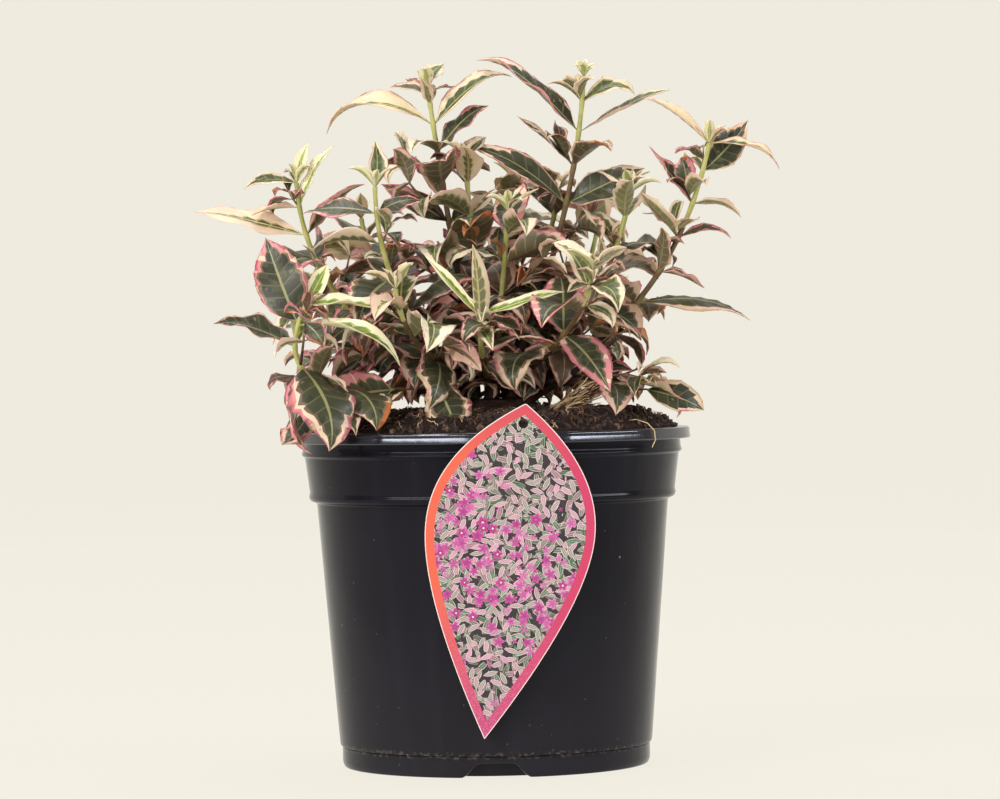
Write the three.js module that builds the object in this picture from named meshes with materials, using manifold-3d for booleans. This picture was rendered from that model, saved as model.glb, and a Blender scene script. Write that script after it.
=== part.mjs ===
// A potted weigela: a young variegated shrub in a black nursery container with a printed leaf-shaped label.
//
// Millimetres, +Z up, origin at the centre of the pot's underside. The label faces -Y.
// The shrub has a short woody crown at the surface of the compost instead of a tall trunk. Its stems rise
// from the crown, and each bears one leafy shoot: a leader with opposite pairs of leaves, each pair a
// quarter turn from the last, and short side twigs low down.

import * as THREE from "three";
import { mergeVertices } from "three/addons/utils/BufferGeometryUtils.js";
import Module from "manifold-3d";

const wasm = await Module();
wasm.setup();

// ---------------------------------------------------------------- driving dimensions

const GAP = 0.3; // between pieces that touch
const ROUND_SIDES = 40; // facets round the pot
const WALL = 1.6; // thickness of the moulded plastic

const pot = {
  height: 185,
  lipRadius: 110,
  lipHeight: 5.6,
  lipInner: 102.6,
  collarTop: { z: 171.5, r: 103.6 },
  collarFoot: { z: 148.5, r: 101 },
  ridge: { z: 173.5, r: 104.6 },
  bodyTop: { z: 146, r: 97 },
  bodyFoot: { z: 11.6, r: 86 },
  footRing: { z: 11.2, r: 85, width: 3.2, chamfer: 1.4 },
  floorZ: 10,
  notch: { count: 3, width: 39, topWidth: 18.5, height: 7.8 },
  drain: { count: 6, ring: 66, r: 5 },
};

const compost = {
  top: 193.5,
  plateau: 44,
  shoulder: { r: 85, z: 192.5 },
  edgeZ: 184.5,
  lump: 1.2,
  heap: { x: 58, y: -52, height: 2.4, spread: 30 },
  sides: 24,
};
const crown = { r: 25, flare: 34, height: 8, lobes: 5, lobeDepth: 0.14 };

const label = {
  length: 181,
  halfWidth: 45,
  widestAt: 68, // down from the top tip
  thickness: 0.6,
  holeRadius: 2.6,
  holeDown: 10.8,
  top: new THREE.Vector3(18.6, -112.8, 200.2),
  turn: 7.85, // degrees, about the way it faces
  lean: 6, // degrees, its foot towards the pot
};
const tongue = { x: 16.3, width: 12, thickness: 0.6, frontY: -111.5, backY: -98, footZ: 168 };

// Each leader: the tip it grows to, how far out and how far up its bend lies as shares of its reach and
// rise, the turn of its highest pair of leaves in degrees, the length of its largest leaves, and how
// likely it is to bear a twig where that differs from the rest.
const leaders = [
  { name: "top_right", tip: [54, -4, 378], out: 0.85, up: 0.45, turn: 90, leaf: 50 },
  { name: "top_left", tip: [-32, -6, 373], out: 0.7, up: 0.65, turn: 90, leaf: 50 },
  { name: "right_high", tip: [122, -18, 340], out: 0.75, up: 0.18, turn: 0, leaf: 54, twigs: 0.25 },
  { name: "left_high", tip: [-105, -12, 322], out: 0.95, up: 0.3, turn: 0, leaf: 48 },
  { name: "left_mid", tip: [-61, -42, 318], out: 1.0, up: 0.35, turn: 0, leaf: 48 },
  { name: "centre", tip: [11, -30, 304], out: 0.5, up: 0.5, turn: 15, leaf: 48 },
  { name: "right_mid", tip: [78, -14, 313], out: 0.8, up: 0.35, turn: -10, leaf: 52 },
  { name: "left_low", tip: [-98, -78, 254], out: 1.4, up: -0.35, turn: 0, leaf: 52, twigs: 0.25 },
  { name: "front_centre", tip: [-5, -70, 247], out: 1.15, up: 0.4, turn: 0, leaf: 44 },
  { name: "front_right", tip: [56, -72, 270], out: 0.8, up: 0.35, turn: 30, leaf: 54 },
  { name: "front_left", tip: [-50, -74, 262], out: 0.9, up: 0.3, turn: -15, leaf: 50 },
  { name: "right_low", tip: [84, -50, 211], out: 0.75, up: 0.25, turn: 60, leaf: 40 },
  { name: "inner_left", tip: [-12, -6, 334], out: 0.6, up: 0.45, turn: 35, leaf: 46 },
  { name: "inner_right", tip: [40, 22, 318], out: 0.6, up: 0.45, turn: 55, leaf: 50 },
  { name: "left_side", tip: [-98, 22, 266], out: 0.85, up: 0.2, turn: 25, leaf: 48 },
  { name: "right_side", tip: [72, 46, 262], out: 0.85, up: 0.25, turn: 70, leaf: 42 },
  { name: "back_top", tip: [16, 48, 322], out: 0.5, up: 0.5, turn: 30, leaf: 50 },
  { name: "back_left", tip: [-72, 60, 304], out: 0.8, up: 0.35, turn: 50, leaf: 46 },
  { name: "back_right", tip: [64, 74, 308], out: 0.8, up: 0.35, turn: 10, leaf: 48 },
  { name: "back_centre", tip: [-4, 84, 286], out: 0.9, up: 0.3, turn: 65, leaf: 50 },
  { name: "back_low_left", tip: [-72, 84, 244], out: 0.85, up: 0.2, turn: 0, leaf: 50 },
  { name: "back_low_right", tip: [46, 86, 242], out: 0.85, up: 0.2, turn: 20, leaf: 48 },
];

// The leaves that give the shrub its outline. For each shoot, the node from the tip and its two leaves,
// each with azimuth, lean from the stem, length, droop, roll and width.
const outlineLeaves = {
  top_right: [
    [1, [180, 42, 24, 60, 20, 0.6], [0, 44, 36, 80, 20, 0.8]],
    [2, [180, 49, 74, 24, -40, 0.55], [0, 48, 62, 0, 12, 0.5]],
    [3, [180, 52, 42, 20, -20, 0.65], [-50, 35, 36, 80, 0, 1.2]],
    [4, [180, 58, 64, 30, -40, 0.45], [0, 50, 48, 0, 45, 0.75]],
  ],
  top_left: [
    [1, [-90, 38, 22, 30, 0, 0.7], [90, 45, 26, 30, 0, 0.7]],
    [2, [180, 46, 72, 100, -30, 0.45], [0, 47, 58, 50, 40, 0.6]],
    [3, [-110, 60, 38, 60, 0, 0.9], [0, 42, 40, 30, 45, 0.9]],
    [5, [180, 50, 44, 10, -60, 0.6], [0, 66, 50, 50, 40, 0.9]],
  ],
  right_high: [
    [0, [175, 58, 46, 24, -25, 0.5], [0, 74, 46, 58, 25, 0.5]],
    [1, [0, 30, 40, 0, 60, 0.85], [120, 60, 30, 60, 0, 0.8]],
    [2, [175, 55, 40, 0, -40, 0.8], [0, 60, 30, 60, 0, 0.7]],
    [3, [0, 40, 34, 70, 25, 0.45], [200, 60, 36, 30, 0, 0.8]],
    [4, [180, 50, 46, 10, -60, 1.0], [0, 60, 28, 60, 20, 0.8]],
    [5, [0, 38, 66, 45, 25, 0.7], [180, 70, 44, 50, 0, 1.0]],
    [6, [0, 60, 30, 60, 0, 0.8], [180, 60, 44, 30, 0, 1.0]],
  ],
  left_high: [
    [0, [0, 14, 24, 15, 60, 0.9], [180, 70, 32, 60, -20, 0.6]],
    [1, [0, 30, 40, 20, 35, 0.6], [180, 80, 28, 20, 0, 0.8]],
    [2, [180, 56, 64, 12, -35, 0.55], [0, 55, 44, 20, 0, 0.7]],
  ],
  left_mid: [
    [0, [60, 20, 28, 20, 60, 0.9], [200, 40, 20, 30, 0, 0.9]],
    [1, [180, 70, 42, 40, -40, 0.9], [0, 60, 28, 60, 40, 0.9]],
    [2, [190, 60, 40, 50, 0, 1.0], [10, 80, 24, 60, 0, 0.9]],
  ],
  left_low: [
    [0, [70, 10, 30, 10, 60, 0.9], [-5, 62, 54, 50, 35, 0.6]],
    [1, [180, 38, 54, 10, -60, 0.95], [-25, 78, 66, 60, 20, 0.6]],
    [2, [180, 60, 46, 20, -25, 0.7], [40, 30, 50, 10, 30, 0.7]],
    [3, [-75, 110, 60, 70, 0, 1.15], [215, 130, 52, 40, 0, 0.7]],
    [4, [-60, 100, 44, 30, 0, 0.8], [0, 60, 30, 60, 0, 0.9]],
  ],
  front_centre: [
    [0, [185, 46, 46, 0, -35, 0.45], [0, 70, 50, 20, 40, 0.5]],
    [1, [-85, 24, 40, 0, 0, 0.7], [95, 24, 42, 10, 0, 0.8]],
  ],
  front_right: [
    [2, [20, 70, 36, 60, 0, 0.9], [226, 60, 54, 60, 0, 1.0]],
  ],
};

const growth = {
  footShare: 0.2, // where a stem leaves the crown, as a share of its tip's distance from the middle
  footMost: 20.5,
  footSpacing: 6.6,
  rise: 16, // how far a stem aims straight up before it leans out
  foliageFrom: 0.24, // share of the way up where the leaves begin
  stemFoot: 2.6, // radii along a stem: at the crown, where the foliage begins, and at the tip
  stemMiddle: 2,
  stemTip: 1.2,
  flare: 1.23,
  internode: 17,
  sunk: 0.4, // how far behind the middle of its stem a leaf begins
  leafWidth: 0.48, // of its length
  leafThickness: 0.007, // of its length, above and below its middle
  leafFold: 0.1, // how far its edges stand above its midrib, of its width
  twig: { chance: 0.6, length: 28, radius: 0.8, leaf: 29 },
};
// Turns and tilts, in degrees, that a leaf tries in order until it touches nothing.
const tries = [
  [0, 0],
  [14, -6],
  [-14, 6],
  [27, 8],
  [-27, -12],
  [40, -18],
  [-40, 14],
  [8, -28],
  [-8, 24],
];

// ---------------------------------------------------------------- solids

const degrees = THREE.MathUtils.degToRad;
const zUp = new THREE.Vector3(0, 0, 1);

function solidOf(geometry) {
  const plain = geometry.clone();
  plain.deleteAttribute("normal");
  plain.deleteAttribute("uv");
  const merged = mergeVertices(plain, 1e-4);
  const corners = [];
  for (let i = 0; i < merged.index.count; i += 3) {
    const [a, b, c] = merged.index.array.slice(i, i + 3);
    if (a !== b && b !== c && c !== a) corners.push(a, b, c);
  }
  const mesh = new wasm.Mesh({
    numProp: 3,
    vertProperties: new Float32Array(merged.attributes.position.array),
    triVerts: new Uint32Array(corners),
  });
  return new wasm.Manifold(mesh);
}

function geometryOf(solid) {
  const mesh = solid.getMesh();
  const geometry = new THREE.BufferGeometry();
  geometry.setAttribute("position", new THREE.BufferAttribute(mesh.vertProperties, 3));
  geometry.setIndex(new THREE.BufferAttribute(mesh.triVerts, 1));
  geometry.computeVertexNormals();
  return geometry;
}

// The pieces of a shoot as one body. A piece that doesn't reach it is left out.
function joined(pieces) {
  const bodies = wasm.Manifold.union(pieces).asOriginal().simplify(0.03).decompose();
  return bodies.sort((a, b) => b.volume() - a.volume())[0];
}

// Moves every corner of a geometry to where place() says.
function reshaped(geometry, place) {
  const corners = geometry.attributes.position;
  const corner = new THREE.Vector3();
  for (let i = 0; i < corners.count; i += 1) {
    corner.fromBufferAttribute(corners, i);
    const moved = place(corner);
    corners.setXYZ(i, moved.x, moved.y, moved.z);
  }
  return geometry;
}

// A closed profile of [radius, height] points turned round the upright axis.
function turned(profile, sides) {
  const closed = [...profile, profile[0]].map(([r, z]) => new THREE.Vector2(r, z));
  return new THREE.LatheGeometry(closed, sides).rotateX(Math.PI / 2);
}

// Random numbers from 0 to 1 that are the same on every run.
function seeded(seed) {
  let state = seed;
  return () => {
    state = (state * 1664525 + 1013904223) % 4294967296;
    return state / 4294967296;
  };
}

// ---------------------------------------------------------------- pot

function potSolid() {
  const { footRing, bodyFoot, bodyTop, collarFoot, collarTop, ridge, height, lipRadius, lipInner } = pot;
  const lipZ = height - pot.lipHeight;
  const outside = [
    [footRing.r - footRing.width, 0],
    [footRing.r - footRing.chamfer, 0],
    [footRing.r, footRing.chamfer * 1.6],
    [footRing.r, footRing.z],
    [bodyFoot.r, bodyFoot.z],
    [bodyTop.r, bodyTop.z],
    [collarFoot.r - 0.6, collarFoot.z - 1.6],
    [collarFoot.r, collarFoot.z],
    [collarTop.r, collarTop.z],
    [ridge.r, ridge.z - 1],
    [ridge.r - 0.4, ridge.z],
    [ridge.r - 0.4, lipZ],
    [lipRadius, lipZ + 0.4],
    [lipRadius, height - 0.8],
    [lipRadius - 0.8, height],
  ];
  const inside = [
    [lipInner, height],
    [collarTop.r - WALL, collarTop.z],
    [collarFoot.r - WALL, collarFoot.z],
    [bodyTop.r - WALL, bodyTop.z],
    [bodyFoot.r - WALL, pot.floorZ + WALL],
    [0, pot.floorZ + WALL],
    [0, pot.floorZ],
    [footRing.r - footRing.width, pot.floorZ],
  ];
  let solid = solidOf(turned([...outside, ...inside], ROUND_SIDES));
  for (let i = 0; i < pot.notch.count; i += 1) {
    solid = solid.subtract(notchCutter((i * 360) / pot.notch.count));
  }
  for (let i = 0; i < pot.drain.count; i += 1) {
    solid = solid.subtract(drainCutter(((i + 0.5) * 360) / pot.drain.count));
  }
  return solid;
}

// The drainage notch in the foot ring, cut through the wall on the -Y side and turned about the axis.
function notchCutter(angle) {
  const { width, topWidth, height } = pot.notch;
  const outline = new THREE.Shape([
    new THREE.Vector2(-width / 2, -1),
    new THREE.Vector2(width / 2, -1),
    new THREE.Vector2(topWidth / 2, height),
    new THREE.Vector2(-topWidth / 2, height),
  ]);
  const cutter = new THREE.ExtrudeGeometry(outline, { depth: 30, bevelEnabled: false });
  cutter.rotateX(Math.PI / 2).translate(0, -pot.footRing.r + 20, 0).rotateZ(degrees(angle));
  return solidOf(cutter);
}

function drainCutter(angle) {
  const { r, ring } = pot.drain;
  const cutter = new THREE.CylinderGeometry(r, r, WALL * 4, 10).rotateX(Math.PI / 2);
  cutter.translate(0, -ring, pot.floorZ + WALL / 2).rotateZ(degrees(angle));
  return solidOf(cutter);
}

// ---------------------------------------------------------------- compost

// The height of the compost at a distance from the pot's axis.
function compostHeight(r) {
  const { top, plateau, shoulder, edgeZ } = compost;
  const edge = pot.lipInner;
  if (r <= plateau) return top;
  if (r <= shoulder.r) return THREE.MathUtils.mapLinear(r, plateau, shoulder.r, top, shoulder.z);
  return THREE.MathUtils.mapLinear(Math.min(r, edge), shoulder.r, edge, shoulder.z, edgeZ);
}

function compostSolid() {
  const rim = pot.lipInner - 0.8;
  const rings = [rim, 97, 90, 82, 74, 64, 54, compost.plateau];
  const profile = [
    [0, pot.floorZ + WALL + GAP],
    [pot.bodyFoot.r - WALL - 0.7, pot.floorZ + WALL + GAP],
    [pot.bodyTop.r - WALL - 0.7, pot.bodyTop.z],
    [pot.collarFoot.r - WALL - 0.8, pot.collarFoot.z + 0.8],
    [pot.collarTop.r - WALL - 0.8, pot.collarTop.z],
    ...rings.map((r) => [r, compostHeight(r)]),
    [0, compost.top],
  ];
  const geometry = turned(profile, compost.sides);
  // Lumps between the flat middle and the wall, the same wherever two faces meet.
  reshaped(geometry, (p) => {
    const r = Math.hypot(p.x, p.y);
    const loose = r > compost.plateau + 1 && r < rim - 1 && p.z > pot.height - 4;
    if (!loose) return p;
    const swell = Math.sin(p.x * 0.31 + 1.7) * Math.cos(p.y * 0.27 - 0.6) + Math.sin((p.x + p.y) * 0.17);
    const { x, y, height, spread } = compost.heap;
    const heap = height * Math.exp(-((p.x - x) ** 2 + (p.y - y) ** 2) / spread ** 2);
    return p.clone().setZ(p.z + compost.lump * swell + heap);
  });
  const slot = new THREE.BoxGeometry(tongue.width + 2 * GAP, 10, 40);
  slot.translate(tongue.x, tongue.backY + tongue.thickness / 2 + GAP - 5, tongue.footZ - GAP + 20);
  return solidOf(geometry).subtract(solidOf(slot));
}

// The woody crown: a low stool with a lobed root flare, flat below and above.
function crownGeometry() {
  const { r, flare, height, lobes, lobeDepth } = crown;
  const profile = [
    [0, 0],
    [flare, 0],
    [flare, 1.2],
    [r + 2, height * 0.5],
    [r, height - 0.8],
    [r - 1, height],
    [0, height],
  ];
  const stool = turned(profile, 20).translate(0, 0, compost.top + GAP);
  return reshaped(stool, (p) => {
    const share = 1 - (p.z - compost.top - GAP) / height;
    const swell = 1 + lobeDepth * share * Math.cos(lobes * Math.atan2(p.y, p.x) + 0.6);
    return new THREE.Vector3(p.x * swell, p.y * swell, p.z);
  });
}

// ---------------------------------------------------------------- label

// The pointed leaf outline, tip upwards at the origin, with its round hole.
function labelOutline() {
  const { length, halfWidth, widestAt, holeDown, holeRadius } = label;
  const tip = new THREE.Vector2(0, 0);
  const shoulder = new THREE.Vector2(halfWidth, -30);
  const widest = new THREE.Vector2(halfWidth, -widestAt);
  const flank = new THREE.Vector2(halfWidth, -widestAt - 37);
  const foot = new THREE.Vector2(0, -length);
  const upper = new THREE.QuadraticBezierCurve(tip, shoulder, widest).getPoints(7);
  const lower = new THREE.QuadraticBezierCurve(widest, flank, foot).getPoints(7);
  const right = [...upper, ...lower.slice(1)];
  const left = right.slice(1, -1).reverse();
  const outline = new THREE.Shape([...right, ...left.map((p) => new THREE.Vector2(-p.x, p.y))]);
  const round = Array.from({ length: 10 }, (_, i) => degrees(i * 36));
  const hole = round.map((a) => new THREE.Vector2(Math.cos(a), Math.sin(a)).multiplyScalar(holeRadius));
  outline.holes.push(new THREE.Path(hole.map((p) => p.setY(p.y - holeDown))));
  return outline;
}

function labelSolid() {
  const options = { depth: label.thickness, bevelEnabled: false };
  const plate = new THREE.ExtrudeGeometry(labelOutline(), options);
  plate.rotateX(Math.PI / 2); // upright, facing -Y, its back at y = 0
  plate.rotateY(degrees(label.turn)).rotateX(degrees(label.lean));
  plate.translate(label.top.x, label.top.y, label.top.z);
  return solidOf(plate).add(solidOf(tongueGeometry()));
}

// The tongue that carries the label: from its back over the lip and down into the compost.
function tongueGeometry() {
  const { x, width, thickness, frontY, backY, footZ } = tongue;
  const over = pot.height + GAP;
  const half = thickness / 2;
  const side = new THREE.Shape([
    new THREE.Vector2(frontY, over),
    new THREE.Vector2(backY - half, over),
    new THREE.Vector2(backY - half, footZ),
    new THREE.Vector2(backY + half, footZ),
    new THREE.Vector2(backY + half, over + thickness),
    new THREE.Vector2(frontY, over + thickness),
  ]);
  const strip = new THREE.ExtrudeGeometry(side, { depth: width, bevelEnabled: false });
  return strip.rotateX(Math.PI / 2).rotateZ(Math.PI / 2).translate(x - width / 2, 0, 0);
}

// ---------------------------------------------------------------- growth rule

// Where the stems stand on the crown: nearer its rim the further they reach, pushed apart until none touch.
function stemFeet() {
  const { footShare, footMost, footSpacing } = growth;
  const feet = leaders.map(({ tip }) => new THREE.Vector2(tip[0] * footShare, tip[1] * footShare));
  for (let round = 0; round < 200; round += 1) {
    feet.forEach((foot, i) => {
      for (const other of feet.slice(i + 1)) {
        const between = other.clone().sub(foot);
        const short = footSpacing - between.length();
        if (short <= 0) continue;
        between.setLength(short / 2);
        foot.sub(between);
        other.add(between);
      }
      foot.clampLength(0, footMost);
    });
  }
  return feet;
}

// The path of a leader: up from the crown, out to its bend, then up to its tip.
function leaderCurve({ tip, out, up }, foot) {
  const start = new THREE.Vector3(foot.x, foot.y, compost.top + crown.height + 2 * GAP);
  const end = new THREE.Vector3(...tip);
  const bend = new THREE.Vector3(
    start.x + (end.x - start.x) * out,
    start.y + (end.y - start.y) * out,
    start.z + (end.z - start.z) * up,
  );
  return new THREE.CubicBezierCurve3(start, start.clone().setZ(start.z + growth.rise), bend, end);
}

// A direction that leans out from a stem by an angle, on the side that an azimuth picks.
function outward(along, azimuth, lean) {
  const aside = new THREE.Vector3(Math.cos(azimuth), Math.sin(azimuth), 0);
  aside.addScaledVector(along, -aside.dot(along)).normalize();
  return along.clone().multiplyScalar(Math.cos(lean)).addScaledVector(aside, Math.sin(lean));
}

// A pair of opposite leaves at a node. age is 0 at the tip of a leader and 1 at its foot.
function pairOfLeaves(root, along, azimuth, length, age, random) {
  return [0, 1].map((side) => ({
    root,
    along,
    azimuth: azimuth + side * Math.PI + degrees((random() - 0.5) * 30),
    lean: degrees(36 + 42 * age + (random() - 0.5) * 20),
    length: length * (0.86 + 0.28 * random()),
    droop: degrees(26 + 44 * age + 40 * random()),
    roll: degrees((random() - 0.5) * (30 + 50 * age)),
    width: 0.88 + 0.24 * random(),
  }));
}

// A leader's leaves, node by node from its tip down, and its side twigs.
function shootPlan(leader, foot, index) {
  const random = seeded(7001 + index * 131);
  const curve = leaderCurve(leader, foot);
  const start = growth.foliageFrom;
  const turn = degrees(leader.turn);
  const count = Math.max(4, Math.round((curve.getLength() * (1 - start)) / growth.internode));
  const nodes = [pairOfLeaves(curve.getPoint(1), curve.getTangent(1), turn, leader.leaf * 0.4, 0, random)];
  const twigs = [];
  for (let k = 1; k <= count; k += 1) {
    const age = k / count;
    const t = 1 - (1 - start - 0.03) * (0.45 * age + 0.55 * age * age);
    const root = curve.getPoint(t);
    const along = curve.getTangent(t);
    const azimuth = turn + degrees(90 * k) + (random() - 0.5) * 0.3;
    const length = leader.leaf * (age < 0.45 ? 0.6 + 0.9 * age : 1.15 - 0.33 * age);
    nodes.push(pairOfLeaves(root, along, azimuth, length, age, random));
    for (const side of [0, 1]) {
      const grows = random() < (leader.twigs ?? growth.twig.chance);
      const size = 0.7 + 0.6 * random();
      const way = outward(along, azimuth + side * Math.PI + 0.6, degrees(42 + 26 * random()));
      const twig = twigPlan(root, way, azimuth + side * Math.PI + 0.6, size, random);
      if (grows && age > 0.4) twigs.push({ ...twig, at: `node_${k}` });
    }
  }
  for (const [node, ...pair] of outlineLeaves[leader.name] ?? []) {
    pair.forEach(([azimuth, lean, length, droop, roll, width], side) => {
      const leaf = nodes[node][side];
      leaf.azimuth = degrees(azimuth);
      leaf.lean = degrees(lean);
      leaf.length = length;
      leaf.droop = degrees(droop);
      leaf.roll = degrees(roll);
      leaf.width = width;
    });
  }
  return { curve, nodes, twigs };
}

// A short side twig with a pair of small leaves on the way and a pair at its end.
function twigPlan(root, way, azimuth, size, random) {
  const length = growth.twig.length * size;
  const end = root.clone().addScaledVector(way, length).addScaledVector(zUp, length * 0.18);
  const leafLength = growth.twig.leaf * (0.75 + 0.4 * random());
  const nodes = [0.97, 0.55].map((share, k) => {
    const place = root.clone().lerp(end, share);
    const turn = azimuth + k * (Math.PI / 2);
    return pairOfLeaves(place, way, turn, leafLength * (0.8 + 0.2 * k), 0.25 + 0.3 * k, random);
  });
  return { root, end, nodes };
}

// Where the middle line of a leaf runs at a share u of its length, with its upper side and its side.
function leafLine({ root, way, length, droop, roll }) {
  const level = zUp.clone().addScaledVector(way, -way.z).normalize();
  const aside = new THREE.Vector3().crossVectors(way, level);
  const face = level.clone().multiplyScalar(Math.cos(roll)).addScaledVector(aside, Math.sin(roll));
  const side = new THREE.Vector3().crossVectors(way, face);
  return (u) => {
    const bent = droop * u * (0.4 + 0.6 * u);
    const fallen = bent * 0.45; // the mean of the bend up to here
    const place = root.clone().addScaledVector(way, -growth.sunk);
    place.addScaledVector(way, length * u * Math.cos(fallen));
    place.addScaledVector(face, -length * u * Math.sin(fallen));
    const up = face.clone().multiplyScalar(Math.cos(bent)).addScaledVector(way, Math.sin(bent));
    return { place, up, side };
  };
}

// True if a leaf stays out of the compost, the pot and the label.
function leafIsClear(leaf) {
  const line = leafLine(leaf);
  return [0.4, 0.7, 1].every((u) => {
    const p = line(u).place;
    const r = Math.hypot(p.x, p.y);
    const inPot = r < pot.lipRadius + 4 && p.z < compostHeight(r) + 3;
    const inLabel = p.y < -100 && Math.abs(p.x) < label.halfWidth + 8 && p.z < label.top.z + 3;
    return !inPot && !inLabel;
  });
}

// ---------------------------------------------------------------- stems and leaves as solids

// A round bar of changing radius along a curve, from t0 to t1. The end at the crown is cut level.
function barAlong(curve, t0, t1, radiusAt, sides, steps) {
  const frameSide = new THREE.Vector3().crossVectors(curve.getTangent(0.5), zUp);
  if (frameSide.length() < 0.1) frameSide.set(1, 0, 0);
  frameSide.normalize();
  const bar = new THREE.CylinderGeometry(1, 1, 1, sides, steps);
  return reshaped(bar, (p) => {
    const t = t0 + (t1 - t0) * (p.y + 0.5);
    const along = t <= 0 ? zUp : curve.getTangent(t);
    const across = frameSide.clone().addScaledVector(along, -frameSide.dot(along)).normalize();
    const other = new THREE.Vector3().crossVectors(across, along);
    const place = curve.getPoint(Math.max(t, 0)).addScaledVector(across, p.x * radiusAt(t));
    return place.addScaledVector(other, p.z * radiusAt(t));
  });
}

function stemRadius(t) {
  const { stemFoot, stemMiddle, stemTip, foliageFrom, flare } = growth;
  if (t <= 0.02) return stemFoot * flare;
  if (t < foliageFrom) return THREE.MathUtils.mapLinear(t, 0, foliageFrom, stemFoot, stemMiddle);
  return THREE.MathUtils.mapLinear(t, foliageFrom, 1, stemMiddle, stemTip);
}

// Where the corners of a blade lie, as shares of its length, and how wide it is there to either side.
const wholeLeaf = [
  [0.28, 0.48],
  [0.62, 0.42],
];
const smallLeaf = [[0.42, 0.5]];

// A bent, folded, pointed blade: its root, a ring of four corners at each station, and its tip.
function leafGeometry(leaf, stations) {
  const line = leafLine(leaf);
  const width = leaf.length * growth.leafWidth * leaf.width;
  const thickness = leaf.length * growth.leafThickness;
  const corners = [line(0).place];
  for (const [u, half] of stations) {
    const { place, up, side } = line(u);
    const lifted = place.clone().addScaledVector(up, width * growth.leafFold);
    corners.push(lifted.clone().addScaledVector(side, width * half));
    corners.push(place.clone().addScaledVector(up, thickness));
    corners.push(lifted.clone().addScaledVector(side, -width * half));
    corners.push(place.clone().addScaledVector(up, -thickness));
  }
  corners.push(line(1).place);
  const faces = [];
  const last = corners.length - 1;
  for (let i = 0; i < 4; i += 1) {
    const next = (i + 1) % 4;
    faces.push(0, 1 + i, 1 + next);
    for (let ring = 1; ring < last - 4; ring += 4) {
      faces.push(ring + i, ring + 4 + i, ring + next, ring + next, ring + 4 + i, ring + 4 + next);
    }
    faces.push(last - 4 + i, last, last - 4 + next);
  }
  const blade = new THREE.BufferGeometry().setFromPoints(corners);
  blade.setIndex(faces);
  return blade;
}

function twigGeometry({ root, end }) {
  const { radius } = growth.twig;
  const length = root.distanceTo(end);
  const way = end.clone().sub(root).normalize();
  const turn = new THREE.Quaternion().setFromUnitVectors(new THREE.Vector3(0, 1, 0), way);
  const bar = new THREE.CylinderGeometry(radius * 0.7, radius, length, 3, 1).translate(0, length / 2, 0);
  return bar.applyQuaternion(turn).translate(root.x, root.y, root.z);
}

// ---------------------------------------------------------------- assembly

const finish = {
  plastic: new THREE.MeshStandardMaterial({ color: 0x1b1b20, roughness: 0.38, metalness: 0 }),
  compost: new THREE.MeshStandardMaterial({ color: 0x2c1a12, roughness: 0.98, metalness: 0 }),
  label: new THREE.MeshStandardMaterial({ color: 0xd8577a, roughness: 0.35, metalness: 0 }),
  bark: new THREE.MeshStandardMaterial({ color: 0x5b4531, roughness: 0.85, metalness: 0 }),
  foliage: new THREE.MeshStandardMaterial({ color: 0x5c6140, roughness: 0.6, metalness: 0 }),
};

function named(name, geometry, material) {
  const mesh = new THREE.Mesh(geometry, material);
  mesh.name = name;
  return mesh;
}

const boxed = (solid) => ({ solid, box: solid.boundingBox() });

// True if a solid keeps its distance from all the others.
function standsClear(piece, others) {
  return others.every((other) => {
    const apart = [0, 1, 2].some(
      (i) => other.box.min[i] > piece.box.max[i] + GAP || other.box.max[i] < piece.box.min[i] - GAP,
    );
    return apart || other.solid.minGap(piece.solid, 2 * GAP) > GAP;
  });
}

// The blade of a leaf in the first of its tries that touches nothing, or null if there is none.
function freeBlade(leaf, stations, others) {
  for (const [turn, tilt] of tries) {
    const way = outward(leaf.along, leaf.azimuth + degrees(turn), leaf.lean + degrees(tilt));
    const tried = { ...leaf, way };
    if (!leafIsClear(tried)) continue;
    const blade = boxed(solidOf(leafGeometry(tried, stations)));
    if (standsClear(blade, others)) return blade;
  }
  return null;
}

const plant = new THREE.Group();
const potted = potSolid();
const filling = compostSolid();
const plate = labelSolid();
const stool = crownGeometry();
plant.add(named("pot", geometryOf(potted), finish.plastic));
plant.add(named("compost", geometryOf(filling), finish.compost));
plant.add(named("label", geometryOf(plate), finish.label));
plant.add(named("crown", stool, finish.bark));

const feet = stemFeet();
const plans = leaders.map((leader, i) => shootPlan(leader, feet[i], i));
const fixed = [potted, filling, plate, solidOf(stool)].map(boxed);

// Stems and leaders first, so that no leaf can cross one.
const shoots = plans.map(({ curve }, i) => {
  const start = growth.foliageFrom;
  const gap = (0.012 * GAP) / curve.getPoint(start).distanceTo(curve.getPoint(start - 0.01));
  const stem = solidOf(barAlong(curve, 0, start - gap, stemRadius, 5, 3));
  plant.add(named(`stem_${leaders[i].name}`, geometryOf(stem), finish.bark));
  fixed.push(boxed(stem));
  return { leader: boxed(solidOf(barAlong(curve, start, 1, stemRadius, 4, 11))), pieces: [] };
});

// Everything that a new piece of a shoot must keep clear of. Pieces of the same node may meet at their roots.
function othersOf(shoot, node) {
  return shoots.reduce((all, other) => {
    const own = other === shoot;
    const leaders = own ? [] : [other.leader];
    return [...all, ...leaders, ...other.pieces.filter((piece) => !own || piece.node !== node)];
  }, fixed);
}

function grow(shoot, node, pair, stations) {
  const others = othersOf(shoot, node);
  for (const leaf of pair) {
    const blade = freeBlade(leaf, stations, others);
    if (blade) shoot.pieces.push({ ...blade, node });
  }
}

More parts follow.
